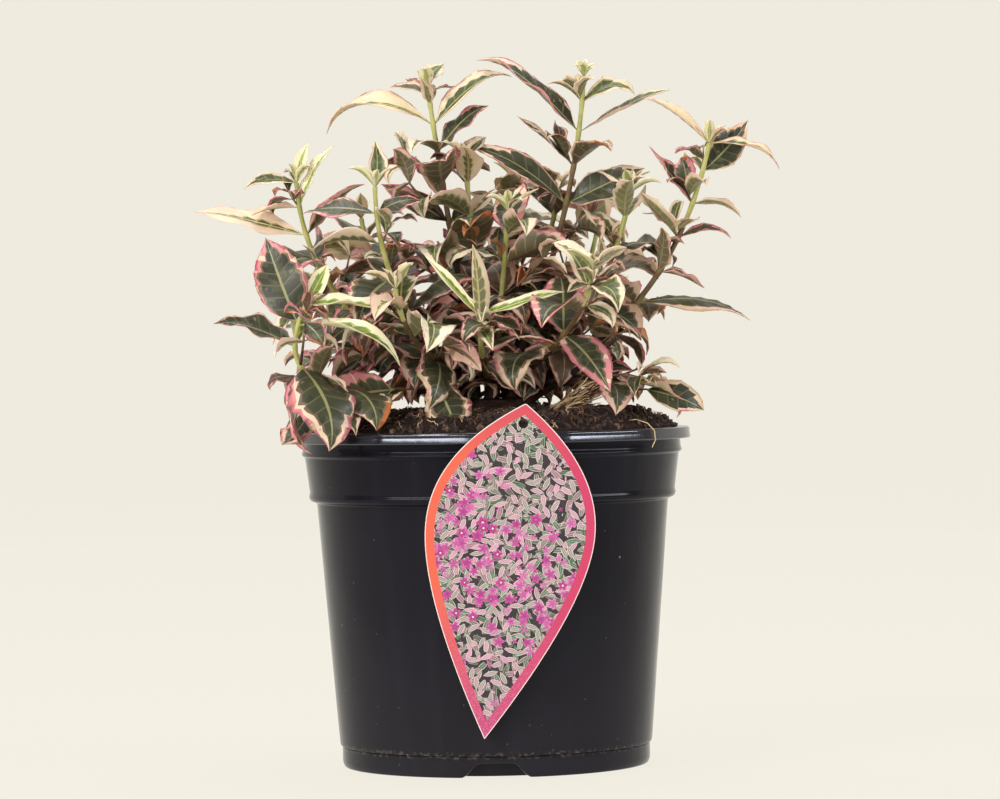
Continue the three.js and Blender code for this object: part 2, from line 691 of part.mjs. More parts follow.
// Node by node from the tips down, one shoot after the other, so that all of them fill the crown evenly.
const mostNodes = Math.max(...plans.map(({ nodes }) => nodes.length));
for (let k = 0; k < mostNodes; k += 1) {
  plans.forEach(({ nodes }, i) => {
    if (k < nodes.length) grow(shoots[i], `node_${k}`, nodes[k], k === 0 ? smallLeaf : wholeLeaf);
  });
}
plans.forEach(({ twigs }, i) => {
  twigs.forEach((twig, k) => {
    const bar = boxed(solidOf(twigGeometry(twig)));
    const shoot = shoots[i];
    if (!standsClear(bar, othersOf(shoot, twig.at))) return;
    shoot.pieces.push({ ...bar, node: `twig_${k}` });
    for (const pair of twig.nodes) grow(shoot, `twig_${k}`, pair, smallLeaf);
  });
});
shoots.forEach(({ leader, pieces }, i) => {
  const shoot = joined([leader, ...pieces].map(({ solid }) => solid));
  plant.add(named(`shoot_${leaders[i].name}`, geometryOf(shoot), finish.foliage));
});

export default plant;
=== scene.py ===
# A young variegated weigela in a black nursery pot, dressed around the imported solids.
# Lengths are in millimetres until a mesh is made, which is then in metres.

import math

import bpy
import numpy as np
from mathutils import Matrix, Vector, noise
from mathutils.bvhtree import BVHTree


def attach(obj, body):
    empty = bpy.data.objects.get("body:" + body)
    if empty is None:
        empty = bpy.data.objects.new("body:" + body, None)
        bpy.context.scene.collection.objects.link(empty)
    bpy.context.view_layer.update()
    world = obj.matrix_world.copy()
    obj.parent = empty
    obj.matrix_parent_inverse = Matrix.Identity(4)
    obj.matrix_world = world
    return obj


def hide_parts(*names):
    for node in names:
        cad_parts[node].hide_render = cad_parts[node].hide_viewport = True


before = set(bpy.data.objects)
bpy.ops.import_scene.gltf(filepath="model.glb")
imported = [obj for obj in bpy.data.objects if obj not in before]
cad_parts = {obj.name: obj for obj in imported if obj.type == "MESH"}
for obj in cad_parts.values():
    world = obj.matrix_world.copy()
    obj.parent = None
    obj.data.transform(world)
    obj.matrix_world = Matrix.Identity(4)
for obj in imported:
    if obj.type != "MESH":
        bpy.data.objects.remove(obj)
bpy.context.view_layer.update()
metre = 0.001  # one millimetre
up = np.array([0.0, 0.0, 1.0])
around = ((0, 1), (1, 2), (2, 3), (3, 0))  # the corners of a square section, each with the next


def shade(red, green, blue):
    # a screen colour, 0 to 255, as a shader wants it
    values = [value / 255 for value in (red, green, blue)]
    return (*(v / 12.92 if v <= 0.04045 else ((v + 0.055) / 1.055) ** 2.4 for v in values), 1.0)


def unit(vector):
    return vector / math.sqrt(vector @ vector)


def seeded(seed):
    # random numbers from 0 to 1, the same on every run
    state = [seed]

    def draw():
        state[0] = (state[0] * 1664525 + 1013904223) % 4294967296
        return state[0] / 4294967296

    return draw


def addObject(name, data):
    made = bpy.data.objects.new(name, data)
    bpy.context.scene.collection.objects.link(made)
    return made


def meshObject(name, places, faces, materials, slots=None, smooth=True):
    mesh = bpy.data.meshes.new(name)
    mesh.from_pydata((np.asarray(places) * metre).tolist(), [], [list(face) for face in faces])
    for material in materials:
        mesh.materials.append(material)
    if slots is not None:
        mesh.polygons.foreach_set("material_index", np.asarray(slots, np.int32))
    mesh.polygons.foreach_set("use_smooth", np.full(len(mesh.polygons), smooth))
    mesh.update()
    return addObject(name, mesh)


def strandObject(name, strands):
    # lines of (places, girths, tones) as a mesh of edges, for the stem tree to give them a body
    places, edges, girths, tones = [], [], [], []
    for line, girth, tone in strands:
        first = len(places)
        places += [tuple(p) for p in np.asarray(line) * metre]
        edges += [(first + i, first + i + 1) for i in range(len(line) - 1)]
        girths += [g * metre for g in girth]
        tones += list(tone)
    mesh = bpy.data.meshes.new(name)
    mesh.from_pydata(places, edges, [])
    for title, values in (("girth", girths), ("tone", tones)):
        mesh.attributes.new(title, "FLOAT", "POINT").data.foreach_set("value", values)
    return addObject(name, mesh)


def applied(piece, modifier):
    # the piece with what its modifier makes as a plain mesh
    evaluated = piece.evaluated_get(bpy.context.evaluated_depsgraph_get())
    mesh = bpy.data.meshes.new_from_object(evaluated)
    piece.modifiers.remove(modifier)
    piece.data = mesh
    mesh.name = piece.name
    return piece


def baked(piece, tree, **inputs):
    # the piece as a geometry tree with these inputs makes it
    modifier = piece.modifiers.new("build", "NODES")
    modifier.node_group = tree
    for item in tree.interface.items_tree:
        if item.in_out == "INPUT" and item.name in inputs:
            modifier[item.identifier] = inputs[item.name]
    return applied(piece, modifier)


def cut(piece, cutter):
    modifier = piece.modifiers.new("cut", "BOOLEAN")
    modifier.operation = "DIFFERENCE"
    modifier.object = cutter
    applied(piece, modifier)
    bpy.data.objects.remove(cutter)
    return piece


def own(piece, slot, *nodes):
    # the piece rides on the plant, and stands for these nodes where there are any
    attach(piece, "root")
    if nodes:
        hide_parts(*nodes)


def reckoned(operation):
    return lambda first, second: first.net.math(operation, first, second)


class Wire:
    # a node's output, which can be reckoned with like a number

    def __init__(self, net, socket):
        self.net, self.socket = net, socket

    def __rsub__(self, other):
        return self.net.math("SUBTRACT", other, self)

    def __abs__(self):
        return self.net.math("ABSOLUTE", self)

    __add__, __sub__, __mul__, __truediv__ = map(reckoned, ("ADD", "SUBTRACT", "MULTIPLY", "DIVIDE"))
    __lt__, __gt__ = map(reckoned, ("LESS_THAN", "GREATER_THAN"))


class Net:
    # a node tree in the making; a colour is given to it as three numbers from 0 to 255

    def __init__(self, tree):
        self.tree = tree
        self.prefix = tree.bl_idname.removesuffix("Tree")

    def __getitem__(self, title):
        return Wire(self, self.given[title])

    def node(self, kind, inputs=None, take=0, **settings):
        # a node with its settings and its inputs, linked or set; gives the outputs to take
        made = self.tree.nodes.new(kind if "Node" in kind else self.prefix + kind)
        for name, value in settings.items():
            setattr(made, name, value)
        for key, value in (inputs or {}).items():
            socket = made.inputs[key]
            if isinstance(value, Wire):
                self.tree.links.new(value.socket, socket)
            else:
                isColour = socket.type == "RGBA" and len(value) == 3
                socket.default_value = shade(*value) if isColour else value
        if isinstance(take, tuple):
            return [Wire(self, made.outputs[key]) for key in take]
        return Wire(self, made.outputs[take])

    def use(self, group, inputs, take):
        return self.node("Group", inputs, take, node_tree=group)

    def math(self, operation, first, second=0.0, clamp=False):
        return self.node("ShaderNodeMath", {0: first, 1: second}, operation=operation, use_clamp=clamp)

    def vector(self, operation, first, second):
        key = "Scale" if operation == "SCALE" else 1
        return self.node("ShaderNodeVectorMath", {0: first, key: second}, operation=operation)

    def mix(self, share, first, second):
        return self.node("Mix", {0: share, 6: first, 7: second}, 2, data_type="RGBA")

    def ramp(self, value, low, high, start=0.0, end=1.0):
        return self.node("ShaderNodeMapRange", {0: value, 1: low, 2: high, 3: start, 4: end})

    def noise(self, place, scale, detail):
        return self.node("ShaderNodeTexNoise", {"Vector": place, "Scale": scale, "Detail": detail})

    def place(self):
        return self.node("TexCoord", take="Object")

    def grained(self, scale, smooth, rough, height):
        # what a shader takes from the fine grain
        inputs = {"Scale": scale, "Smooth": smooth, "Rough": rough, "Height": height}
        roughness, normal = self.use(grain, inputs, ("Roughness", "Normal"))
        return {"Roughness": roughness, "Normal": normal}

    def give(self, **wires):
        # closes a node group with these outputs
        kinds = {"VALUE": "Float", "VECTOR": "Vector", "RGBA": "Color", "GEOMETRY": "Geometry"}
        for title, wire in wires.items():
            kind = kinds[wire.socket.type]
            self.tree.interface.new_socket(title, in_out="OUTPUT", socket_type=f"NodeSocket{kind}")
        self.node("NodeGroupOutput", wires, ())
        return self.tree

    def finish(self, inputs):
        # closes a material with a shader that takes these inputs
        self.node("OutputMaterial", {"Surface": self.node("BsdfPrincipled", inputs)}, ())
        return self.material


def groupNet(name, inputs, kind="ShaderNodeTree"):
    # a node group; each input is named with its value or, where it has none, with its kind
    tree = bpy.data.node_groups.new(name, kind)
    for title, value in inputs.items():
        kind = value if isinstance(value, str) else "Int" if isinstance(value, int) else "Float"
        socket = tree.interface.new_socket(title, in_out="INPUT", socket_type=f"NodeSocket{kind}")
        if value != kind:
            socket.default_value = value
    net = Net(tree)
    net.given = tree.nodes.new("NodeGroupInput").outputs
    return net


def materialNet(name):
    material = bpy.data.materials.new(name)
    material.use_nodes = True
    material.node_tree.nodes.clear()
    net = Net(material.node_tree)
    net.material = material
    return net


def aimed(thing, eye, aim, roll=0.0):
    # the thing at the eye, in metres, turned towards the aim
    eye, rolled = Vector(eye), Matrix.Rotation(math.radians(roll), 4, "Z")
    turn = (Vector(aim) - eye).to_track_quat("-Z", "Y").to_matrix().to_4x4()
    thing.matrix_world = Matrix.Translation(eye) @ turn @ rolled


# The camera, far off with a long lens, looking along +Y.
cameraPlace = {"eye": (0.005, -2.35, 0.2285), "aim": (0.005, 0.0, 0.2011), "roll": -0.9, "lens": 153.0}


def makeCamera():
    lens = bpy.data.cameras.new("camera")
    lens.lens = cameraPlace["lens"]
    lens.sensor_width = 36.0
    camera = addObject("camera", lens)
    aimed(camera, cameraPlace["eye"], cameraPlace["aim"], cameraPlace["roll"])
    bpy.context.scene.camera = camera


makeCamera()
print("camera placed")


# Effects that several finishes share.


def makeGrain():
    # fine unevenness: a roughness that changes and a bumped normal
    net = groupNet("fineGrain", {"Scale": 400.0, "Smooth": 0.4, "Rough": 0.6, "Height": 0.0001})
    pattern = net.noise(net.place(), net["Scale"], 4.0)
    rough = net.ramp(pattern, 0.3, 0.7, net["Smooth"], net["Rough"])
    bump = net.node("Bump", {"Height": pattern, "Distance": net["Height"], "Strength": 1.0})
    return net.give(Roughness=rough, Normal=bump)


def makeMottle():
    # two colours that mingle in soft patches
    net = groupNet("mottle", {"Scale": 60.0, "First": "Color", "Second": "Color", "Edge": 0.12})
    patches = net.noise(net.place(), net["Scale"], 5.0)
    share = net.ramp(patches, 0.5 - net["Edge"], net["Edge"] + 0.5)
    return net.give(Color=net.mix(share, net["First"], net["Second"]))


def makeSpecks():
    # scattered dust specks; only some cells hold one
    net = groupNet("specks", {"Scale": 150.0, "Size": 0.08, "Share": 0.3})
    cells = {"Vector": net.place(), "Scale": net["Scale"]}
    away, lot = net.node("TexVoronoi", cells, ("Distance", "Color"))
    chance = net.node("SeparateColor", {0: lot})
    return net.give(Mask=(away < net["Size"]) * (chance < net["Share"]))


grain, mottle, specks = makeGrain(), makeMottle(), makeSpecks()

# Finishes of two mingling colours: the colours, the scale and edge of their patches, the scale of the grain,
# its smoothest, its roughest and its height, and the shine.
patched = {
    "moistCompost": ((48, 33, 27), (26, 18, 16), 240.0, 0.15, 900.0, 0.8, 1.0, 0.0006, 0.25),
    "darkCrumbsFinish": ((70, 50, 42), (32, 23, 21), 500.0, 0.1, 1800.0, 0.5, 0.85, 0.0003, 0.4),
    "brownCrumbsFinish": ((92, 68, 56), (60, 44, 38), 500.0, 0.1, 1800.0, 0.5, 0.85, 0.0003, 0.4),
    "barkChipsFinish": ((130, 96, 76), (82, 60, 48), 500.0, 0.1, 1800.0, 0.5, 0.85, 0.0003, 0.4),
    "strawFibre": ((226, 202, 158), (194, 162, 118), 200.0, 0.1, 900.0, 0.5, 0.8, 0.0001, 0.4),
    "brownFibre": ((128, 90, 66), (88, 58, 44), 200.0, 0.1, 900.0, 0.5, 0.8, 0.0001, 0.4),
    "darkFibre": ((70, 46, 36), (48, 32, 27), 200.0, 0.1, 900.0, 0.6, 0.9, 0.0001, 0.4),
    "whiteCard": ((240, 238, 234), (232, 230, 226), 40.0, 0.3, 500.0, 0.35, 0.5, 0.00003, 0.4),
    "woodyBark": ((78, 54, 40), (48, 34, 28), 160.0, 0.12, 700.0, 0.6, 0.9, 0.0005, 0.4),
    "greenBark": ((122, 104, 62), (104, 78, 54), 120.0, 0.12, 900.0, 0.45, 0.7, 0.0002, 0.4),
    "youngBark": ((186, 184, 112), (158, 158, 86), 90.0, 0.14, 900.0, 0.4, 0.6, 0.0001, 0.4),
}


def patchedMaterial(name, first, second, patch, edge, scale, smooth, rough, height, shine):
    net = materialNet(name)
    colour = net.use(mottle, {"Scale": patch, "First": first, "Second": second, "Edge": edge}, "Color")
    uneven = net.grained(scale, smooth, rough, height)
    return net.finish({"Base Color": colour, "Specular IOR Level": shine, **uneven})


finish = {name: patchedMaterial(name, *values) for name, values in patched.items()}


# The pot: near-black satin plastic, with faint draw marks, dust and water spots.
def makePlastic(name, specular, rough):
    net = materialNet(name)
    place = net.place()
    base = {"Scale": 14.0, "First": (19, 16, 22), "Second": (27, 25, 32), "Edge": 0.2}
    drawn = net.node("Mapping", {"Vector": place, "Scale": (1.0, 1.0, 0.05)})
    marks = net.noise(drawn, 90.0, 3.0)
    colour = net.mix(net.ramp(marks, 0.5, 0.85) * 0.2, net.use(mottle, base, "Color"), (48, 48, 58))
    dust = net.use(specks, {"Scale": 170.0, "Size": 0.07, "Share": 0.22}, "Mask")
    grit = net.use(specks, {"Scale": 60.0, "Size": 0.05, "Share": 0.16}, "Mask")
    colour = net.mix(net.math("MAXIMUM", dust * 0.45, grit), colour, (112, 108, 106))
    # paler grey towards the bottom, thinning out upwards
    height = net.node("SeparateXYZ", {0: place}, 2)
    colour = net.mix(net.ramp(height, 0.15, 0.0, 0.0, 0.06), colour, (124, 122, 126))
    # soil dust caught along the joint above the foot
    near = net.ramp(abs(height - 0.0118), 0.0024, 0.0004)
    soiled = net.ramp(net.noise(place, 420.0, 4.0), 0.5, 0.66)
    inputs = net.grained(26.0, 0.1, rough, 0.0003)
    inputs["Base Color"] = net.mix(near * soiled * 0.7, colour, (112, 98, 88))
    bump = {"Height": marks, "Distance": 0.00012, "Strength": 0.6, "Normal": inputs["Normal"]}
    inputs["Normal"] = net.node("Bump", bump)
    inputs["Specular IOR Level"] = specular
    inputs["Specular Tint"] = (0.82, 0.87, 1.0, 1.0)
    return net.finish(inputs)


pot = {
    "segments": 256,
    "foot": {"ring": 85.0, "inner": 81.8, "joint": 11.0},
    "floor": 10.0,
    "floorTop": 11.6,
    "notch": {"count": 3, "half": 19.5, "topHalf": 8.6, "height": 7.8},
    "drain": {"count": 6, "ring": 66.0, "radius": 5.0},
    # the rib: a ring of black plastic hanging under the floor, partly a rib of the pot and partly painted
    # shade: it hides the glowing floor from the notches so that they look as dark as the shade under the pot
    "rib": {"inner": 72.5, "outer": 75.0, "low": 0.2},
    "rimFrom": 178.9,
    "lipTop": 185.0,
}

# Corners of the pot's section from the foot's inner edge, up the outside, over the lip and down to the
# floor: radius, height, and the radius that it is rounded by.
potSection = [
    (81.8, 0.0, 0.3), (83.9, 0.0, 1.2), (85.0, 2.6, 1.4), (85.0, 11.0, 0.2), (84.5, 11.5, 0.2),
    (85.9, 11.8, 0.4), (86.3, 13.2, 0.6), (97.0, 145.6, 1.0), (100.6, 146.9, 1.0), (101.4, 149.0, 0.9),
    (100.8, 151.2, 1.0), (103.3, 170.8, 0.8), (104.9, 171.8, 0.5), (105.0, 172.8, 0.4), (104.4, 174.6, 0.5),
    (104.2, 178.7, 0.5), (109.3, 178.8, 0.4), (110.0, 179.3, 0.4), (109.5, 182.4, 0.4), (109.5, 184.1, 0.6),
    (108.8, 185.0, 0.6), (103.4, 185.0, 0.6), (102.6, 184.2, 0.5), (102.0, 171.5, 0.5), (99.4, 148.8, 0.5),
    (95.4, 146.0, 0.5), (84.6, 13.0, 1.0), (83.0, 11.6, 0.8),
]


def roundedSection(corners, steps=4):
    # the corners as rounded bends; the first and last stay sharp
    points = np.array([(r, z) for r, z, _ in corners])
    line = [points[0]]
    for i in range(1, len(points) - 1):
        back, ahead = points[i - 1] - points[i], points[i + 1] - points[i]
        reach = min(corners[i][2], 0.45 * np.linalg.norm(back), 0.45 * np.linalg.norm(ahead))
        start = points[i] + back / np.linalg.norm(back) * reach
        end = points[i] + ahead / np.linalg.norm(ahead) * reach
        for u in np.linspace(0, 1, steps):
            line.append((1 - u) ** 2 * start + 2 * u * (1 - u) * points[i] + u**2 * end)
    return line + [points[-1]]


def lathe(section, segments):
    # the section turned about Z; a ring of radius 0 is one point
    turns = np.arange(segments) * 2 * math.pi / segments
    places, rings, faces = [], [], []
    for r, z in section:
        count = segments if r > 1e-6 else 1
        rings.append(len(places) + np.arange(segments) % count)
        places += [(r * math.cos(turn), r * math.sin(turn), z) for turn in turns[:count]]
    for low, high in zip(rings, rings[1:]):
        for corners in zip(low, np.roll(low, -1), np.roll(high, -1), high):
            faces.append(list(dict.fromkeys(corners)))
    return np.array(places), faces


def notchHeight(turn):
    # how high the foot's lower edge rises in a drainage notch, at an angle about Z
    notch = pot["notch"]
    pitch = 2 * math.pi / notch["count"]
    away = (turn + math.pi / 2 + pitch / 2) % pitch - pitch / 2
    x = abs(away) * pot["foot"]["ring"]
    share = np.clip((notch["half"] - x) / (notch["half"] - notch["topHalf"]), 0, 1)
    return notch["height"] * share * share * (3 - 2 * share)


def makePot():
    floor, rib, joint, inner = pot["floor"], pot["rib"], pot["foot"]["joint"], pot["foot"]["inner"]
    # the rib under the floor is partly painted shade: it keeps the glowing floor out of sight through the
    # notches
    section = [(0.0, floor), (rib["inner"], floor), (rib["inner"] + 0.3, rib["low"])]
    section += [(rib["outer"] - 0.3, rib["low"]), (rib["outer"], floor), (inner - 0.3, floor)]
    section += [(inner, z) for z in (8.0, 6.0, 4.0, 2.0)]
    section += [*roundedSection(potSection), (60.0, pot["floorTop"]), (0.0, pot["floorTop"])]
    places, faces = lathe(section, pot["segments"])
    inFoot = (places[:, 2] < joint) & (np.hypot(places[:, 0], places[:, 1]) > inner - 0.1)
    rise = notchHeight(np.arctan2(places[:, 1], places[:, 0]))
    places[inFoot, 2] += (rise * (1 - places[:, 2] / joint))[inFoot]
    plastics = [makePlastic("blackPlastic", 0.11, 0.2), makePlastic("rimPlastic", 1.0, 0.18)]
    body = meshObject("nurseryPot", places, faces, plastics)
    for face in body.data.polygons:
        face.material_index = int(face.center.z > pot["rimFrom"] * metre)
    return cut(body, drainCutters())


def drainCutters():
    drain = pot["drain"]
    places, faces = [], []
    for i in range(drain["count"]):
        turn = (i + 0.5) * 2 * math.pi / drain["count"]
        ring, sides = lathe([(0.0, 5.0), (drain["radius"], 5.0), (drain["radius"], 20.0), (0.0, 20.0)], 24)
        faces += [[len(places) + k for k in side] for side in sides]
        places += list(ring + drain["ring"] * np.array([math.cos(turn), math.sin(turn), 0]))
    return meshObject("drainCutters", places, faces, [])


own(makePot(), "pot", "pot")
print("pot made")

# The compost: a lumpy bed with loose crumbs, bark bits and rootlets on it.
compost = {
    "profile": [(0, 193.5), (44.0, 193.5), (85.0, 192.5), (102.6, 184.5)],  # radius and height
    "reach": 101.6,
    "side": [(99.9, 171.5), (97.5, 149.5), (94.0, 146.0), (82.6, 12.2), (0.0, 12.2)],
    "heap": {"x": 58.0, "y": -52.0, "height": 2.4, "spread": 30.0},
    "rings": 70,
    "segments": 220,
    "lumps": [(0.055, 3.0, 11), (0.16, 2.4, 23), (0.42, 1.3, 5)],  # frequency, height and seed
}


def compostHeight(r):
    return np.interp(r, *zip(*compost["profile"]))


def lumpyHeight(x, y):
    # the bed's own height with its heap and lumps, calmer towards the crown and the wall
    r = math.hypot(x, y)
    heap = compost["heap"]
    away = ((x - heap["x"]) ** 2 + (y - heap["y"]) ** 2) / heap["spread"] ** 2
    z = float(compostHeight(r)) + heap["height"] * math.exp(-away)
    loose = min(1.0, max(0.0, (compost["reach"] - r) / 6)) * (0.35 + 0.65 * min(1.0, r / 50))
    for frequency, height, seed in compost["lumps"]:
        z += height * loose * (noise.noise(Vector((x * frequency, y * frequency, seed))) + 0.1)
    return z


def makeCompost():
    radii = compost["reach"] * (np.arange(compost["rings"] + 1) / compost["rings"]) ** 0.8
    section = [(r, float(compostHeight(r))) for r in radii] + compost["side"]
    places, faces = lathe(section, compost["segments"])
    onTop = places[:, 2] > 180
    for i in np.flatnonzero(onTop):
        places[i, 2] = lumpyHeight(places[i, 0], places[i, 1])
    bed = meshObject("compostBed", places, [face[::-1] for face in faces], [finish["moistCompost"]])
    own(bed, "compost", "compost")
    return places, [face for face in faces if all(onTop[k] for k in face)]


bedPlaces, bedTop = makeCompost()


def makeScatterTree():
    # rough little crumbs or flakes strewn over a surface
    sockets = {"Geometry": "Geometry", "Density": 1e5, "Smallest": 0.0004, "Largest": 0.002}
    sockets |= {"Flatness": 0.8, "Lift": 0.0, "Seed": 1, "Finish": "Material"}
    net = groupNet("scatter", sockets, "GeometryNodeTree")
    seed = {"Seed": net["Seed"]}
    spread = {"Mesh": net["Geometry"], "Density": net["Density"], **seed}
    dots, normal = net.node("DistributePointsOnFaces", spread, ("Points", "Normal"))
    ball = net.node("MeshIcoSphere", {"Radius": 1.0, "Subdivisions": 1})
    rough = net.node("ShaderNodeTexNoise", {"Scale": 1.3, "Detail": 2.0}, "Color")
    bulge = net.vector("SCALE", net.vector("SUBTRACT", rough, (0.5, 0.5, 0.5)), 1.6)
    crumb = net.node("SetPosition", {"Geometry": ball, "Offset": bulge})
    turns = {0: (0, 0, 0), 1: (6.28, 6.28, 6.28), **seed}
    turn = net.node("FunctionNodeRandomValue", turns, data_type="FLOAT_VECTOR")
    chance = net.node("FunctionNodeRandomValue", seed, 1)
    size = net.ramp(net.math("POWER", chance, 3.0), 0.0, 1.0, net["Smallest"], net["Largest"])
    scale = net.node("ShaderNodeCombineXYZ", {0: size, 1: size, 2: size * net["Flatness"]})
    raised = net.node("SetPosition", {"Geometry": dots, "Offset": net.vector("SCALE", normal, net["Lift"])})
    strewn = {"Points": raised, "Instance": crumb, "Rotation": turn, "Scale": scale}
    real = net.node("RealizeInstances", {0: net.node("InstanceOnPoints", strewn)})
    return net.give(Geometry=net.node("SetMaterial", {0: real, "Material": net["Finish"]}))


def makeStemTree():
    # gives lines a round body of their own girth, with a rough skin, in three finishes from foot to tip
    sockets = {"Geometry": "Geometry", "Sides": 8, "Relief": 0.0002, "Grain": 300.0, "GreenFrom": 0.5}
    sockets |= {"YoungFrom": 0.8, "Woody": "Material", "Green": "Material", "Young": "Material"}
    net = groupNet("stems", sockets, "GeometryNodeTree")
    girth, tone = (net.node("InputNamedAttribute", {"Name": name}) for name in ("girth", "tone"))
    lines = net.node("MeshToCurve", {0: net["Geometry"]})
    ring = net.node("CurvePrimitiveCircle", {"Resolution": net["Sides"], "Radius": 1.0})
    body = {"Curve": lines, "Profile Curve": ring, "Scale": girth, "Fill Caps": True}
    body = net.node("CurveToMesh", body)
    long = net.vector("MULTIPLY", net.node("InputPosition"), (1.0, 1.0, 0.35))
    height = (net.noise(long, net["Grain"], 3.0) - 0.5) * net["Relief"]
    push = net.vector("SCALE", net.node("InputNormal"), height)
    smooth = net.node("SetShadeSmooth", {0: net.node("SetPosition", {"Geometry": body, "Offset": push})})
    real = net.node("RealizeInstances", {0: smooth})
    real = net.node("SetMaterial", {0: real, "Material": net["Woody"]})
    for part in ("Green", "Young"):
        above = net.node("FunctionNodeCompare", {0: tone, 1: net[f"{part}From"]}, operation="GREATER_THAN")
        real = net.node("SetMaterial", {0: real, "Selection": above, "Material": net[part]})
    return net.give(Geometry=real)


scatterTree = makeScatterTree()
stemTree = makeStemTree()

crumbs = {
    "darkCrumbs": {"density": 110000.0, "size": (0.5, 3.0), "flat": 0.6, "seed": 3},
    "brownCrumbs": {"density": 60000.0, "size": (0.4, 2.2), "flat": 0.45, "seed": 17},
    "barkChips": {"density": 7000.0, "size": (0.8, 3.4), "flat": 0.3, "seed": 29},
}
for crumbName, crumb in crumbs.items():
    low, high = crumb["size"]
    inputs = {"Density": crumb["density"], "Smallest": low * metre, "Largest": high * metre}
    inputs |= {"Flatness": crumb["flat"], "Lift": 0.2 * metre, "Seed": crumb["seed"]}
    piece = meshObject(crumbName, bedPlaces, bedTop, [])
    own(baked(piece, scatterTree, Finish=finish[f"{crumbName}Finish"], **inputs), "compost")

fibres = {
    "seed": 911,
    "rootlets": 900,
    "length": (4.0, 15.0),
    "girth": (0.12, 0.3),
    "tuft": {"count": 90, "foot": (36.0, -44.0), "spread": (6.0, 5.0), "reach": (20.0, -5.0, 17.0)},
    "overRim": [
        (70, -58, 189), (78, -65, 190), (84, -70, 188), (87.5, -72.5, 184), (88, -73, 179), (86, -74, 175),
    ],
}


def makeRootlet(random):
    # a fibre that wanders over the bed
    turn, r = random.uniform(0, 2 * math.pi), 99 * math.sqrt(random.uniform(0.08, 1))
    place = np.array([r * math.cos(turn), r * math.sin(turn)])
    heading = random.uniform(0, 2 * math.pi)
    size, girth = random.uniform(*fibres["length"]), random.uniform(*fibres["girth"])
    line = []
    for k in range(9):
        if math.hypot(*place) > 101:
            break
        lift = 0.5 + 1.6 * math.sin(math.pi * k / 8) * random.uniform(0.3, 1)
        line.append((*place, lumpyHeight(*place) + lift))
        heading += random.normal(0, 0.35)
        place = place + size / 8 * np.array([math.cos(heading), math.sin(heading)])
    return line, girth


def makeFibres():
    # rootlets on the bed, a tuft of old dry stalks in front of the crown and one stalk over the lip
    random = np.random.default_rng(fibres["seed"])
    strands = []
    for _ in range(fibres["rootlets"]):
        line, girth = makeRootlet(random)
        count = len(line)
        if count > 3:
            tone = random.choice([0.2, 0.2, 0.2, 0.6, 0.6, 0.6, 0.9])
            strands.append((line, [girth] * count, [tone] * count))
    tuft = fibres["tuft"]
    for _ in range(tuft["count"]):
        foot = np.array([*(tuft["foot"] + random.normal(0, 0.5, 2) * tuft["spread"]), 0.0])
        foot[2] = lumpyHeight(foot[0], foot[1]) - 0.5
        reach = np.array(tuft["reach"]) * random.uniform(0.5, 1.1) + random.normal(0, 3.5, 3)
        steps = np.linspace(0, 1, 8)[:, None]
        line = foot + reach * steps + np.array([0, 0, -5.0]) * steps**2
        line += random.normal(0, 0.4, (8, 3)) * steps
        girth = random.uniform(0.35, 0.8) * (1.1 - 0.7 * steps[:, 0])
        strands.append((line, girth, [random.choice([0.6, 0.9, 0.9])] * 8))
    hanging = fibres["overRim"]
    strands.append((hanging, [0.3] * len(hanging), [0.9] * len(hanging)))
    inputs = {"Sides": 5, "Relief": 0.0001, "Grain": 600.0, "GreenFrom": 0.4, "YoungFrom": 0.75}
    inputs |= {"Woody": finish["darkFibre"], "Green": finish["brownFibre"], "Young": finish["strawFibre"]}
    own(baked(strandObject("fibres", strands), stemTree, **inputs), "compost")


makeFibres()
print("compost made")

# The label: a leaf-shaped card with a printed front, on a tongue that hooks over the lip.
label = {
    "length": 181.0,
    "halfWidth": 45.0,
    "widestAt": 68.0,
    "thickness": 0.6,
    "hole": {"down": 10.8, "radius": 2.6},
    "top": (18.6, -112.8, 200.2),
    "turn": 7.85,
    "lean": 6.0,
    "rows": 180,
    "columns": 60,
    "border": 5.0,
    "paleLine": 0.45,
    # printed sprays: scale, leaf length and width, then green, rosy and margin colours
    "sprays": [
        (11.0, 0.064, 0.014, (60, 108, 72), (110, 82, 98), (150, 160, 132)),
        (14.0, 0.052, 0.015, (84, 122, 92), (170, 120, 136), (206, 188, 188)),
        (17.0, 0.042, 0.013, (150, 150, 136), (214, 152, 178), (236, 212, 218)),
    ],
    "blossoms": [(13.0, 0.036, 0.62), (17.0, 0.028, 0.55)],  # scale, size and how far they drift
}
tongue = {
    "x": 16.3,
    "width": 12.0,
    "thickness": 0.6,
    "front": -111.5,
    "lip": -104.0,
    "back": -98.0,
    "foot": 168.0,
    "bend": 2.2,
}


def labelOutline(steps=60):
    # the right-hand edge from the tip to the foot, and the left-hand one back
    half, widest = label["halfWidth"], -label["widestAt"]
    tip, side, foot = (0, 0), (half, widest), (0, -label["length"])
    right = []
    for bend in ((tip, (half, -30), side), (side, (half, widest - 37), foot)):
        start, middle, end = np.array(bend)
        for t in np.linspace(0, 1, steps):
            right.append((1 - t) ** 2 * start + 2 * t * (1 - t) * middle + t * t * end)
    right = np.array(right)
    return right, np.concatenate([right, right[::-1] * [-1, 1]])


def edgeDistance(points, outline):
    # how far each point lies from the outline
    nearest = np.full(len(points), np.inf)
    for start, end in zip(outline, np.roll(outline, -1, 0)):
        line = end - start
        size = line @ line
        if size > 1e-12:
            t = np.clip((points - start) @ line / size, 0, 1)
            nearest = np.minimum(nearest, np.linalg.norm(points - start - t[:, None] * line, axis=1))
    return nearest


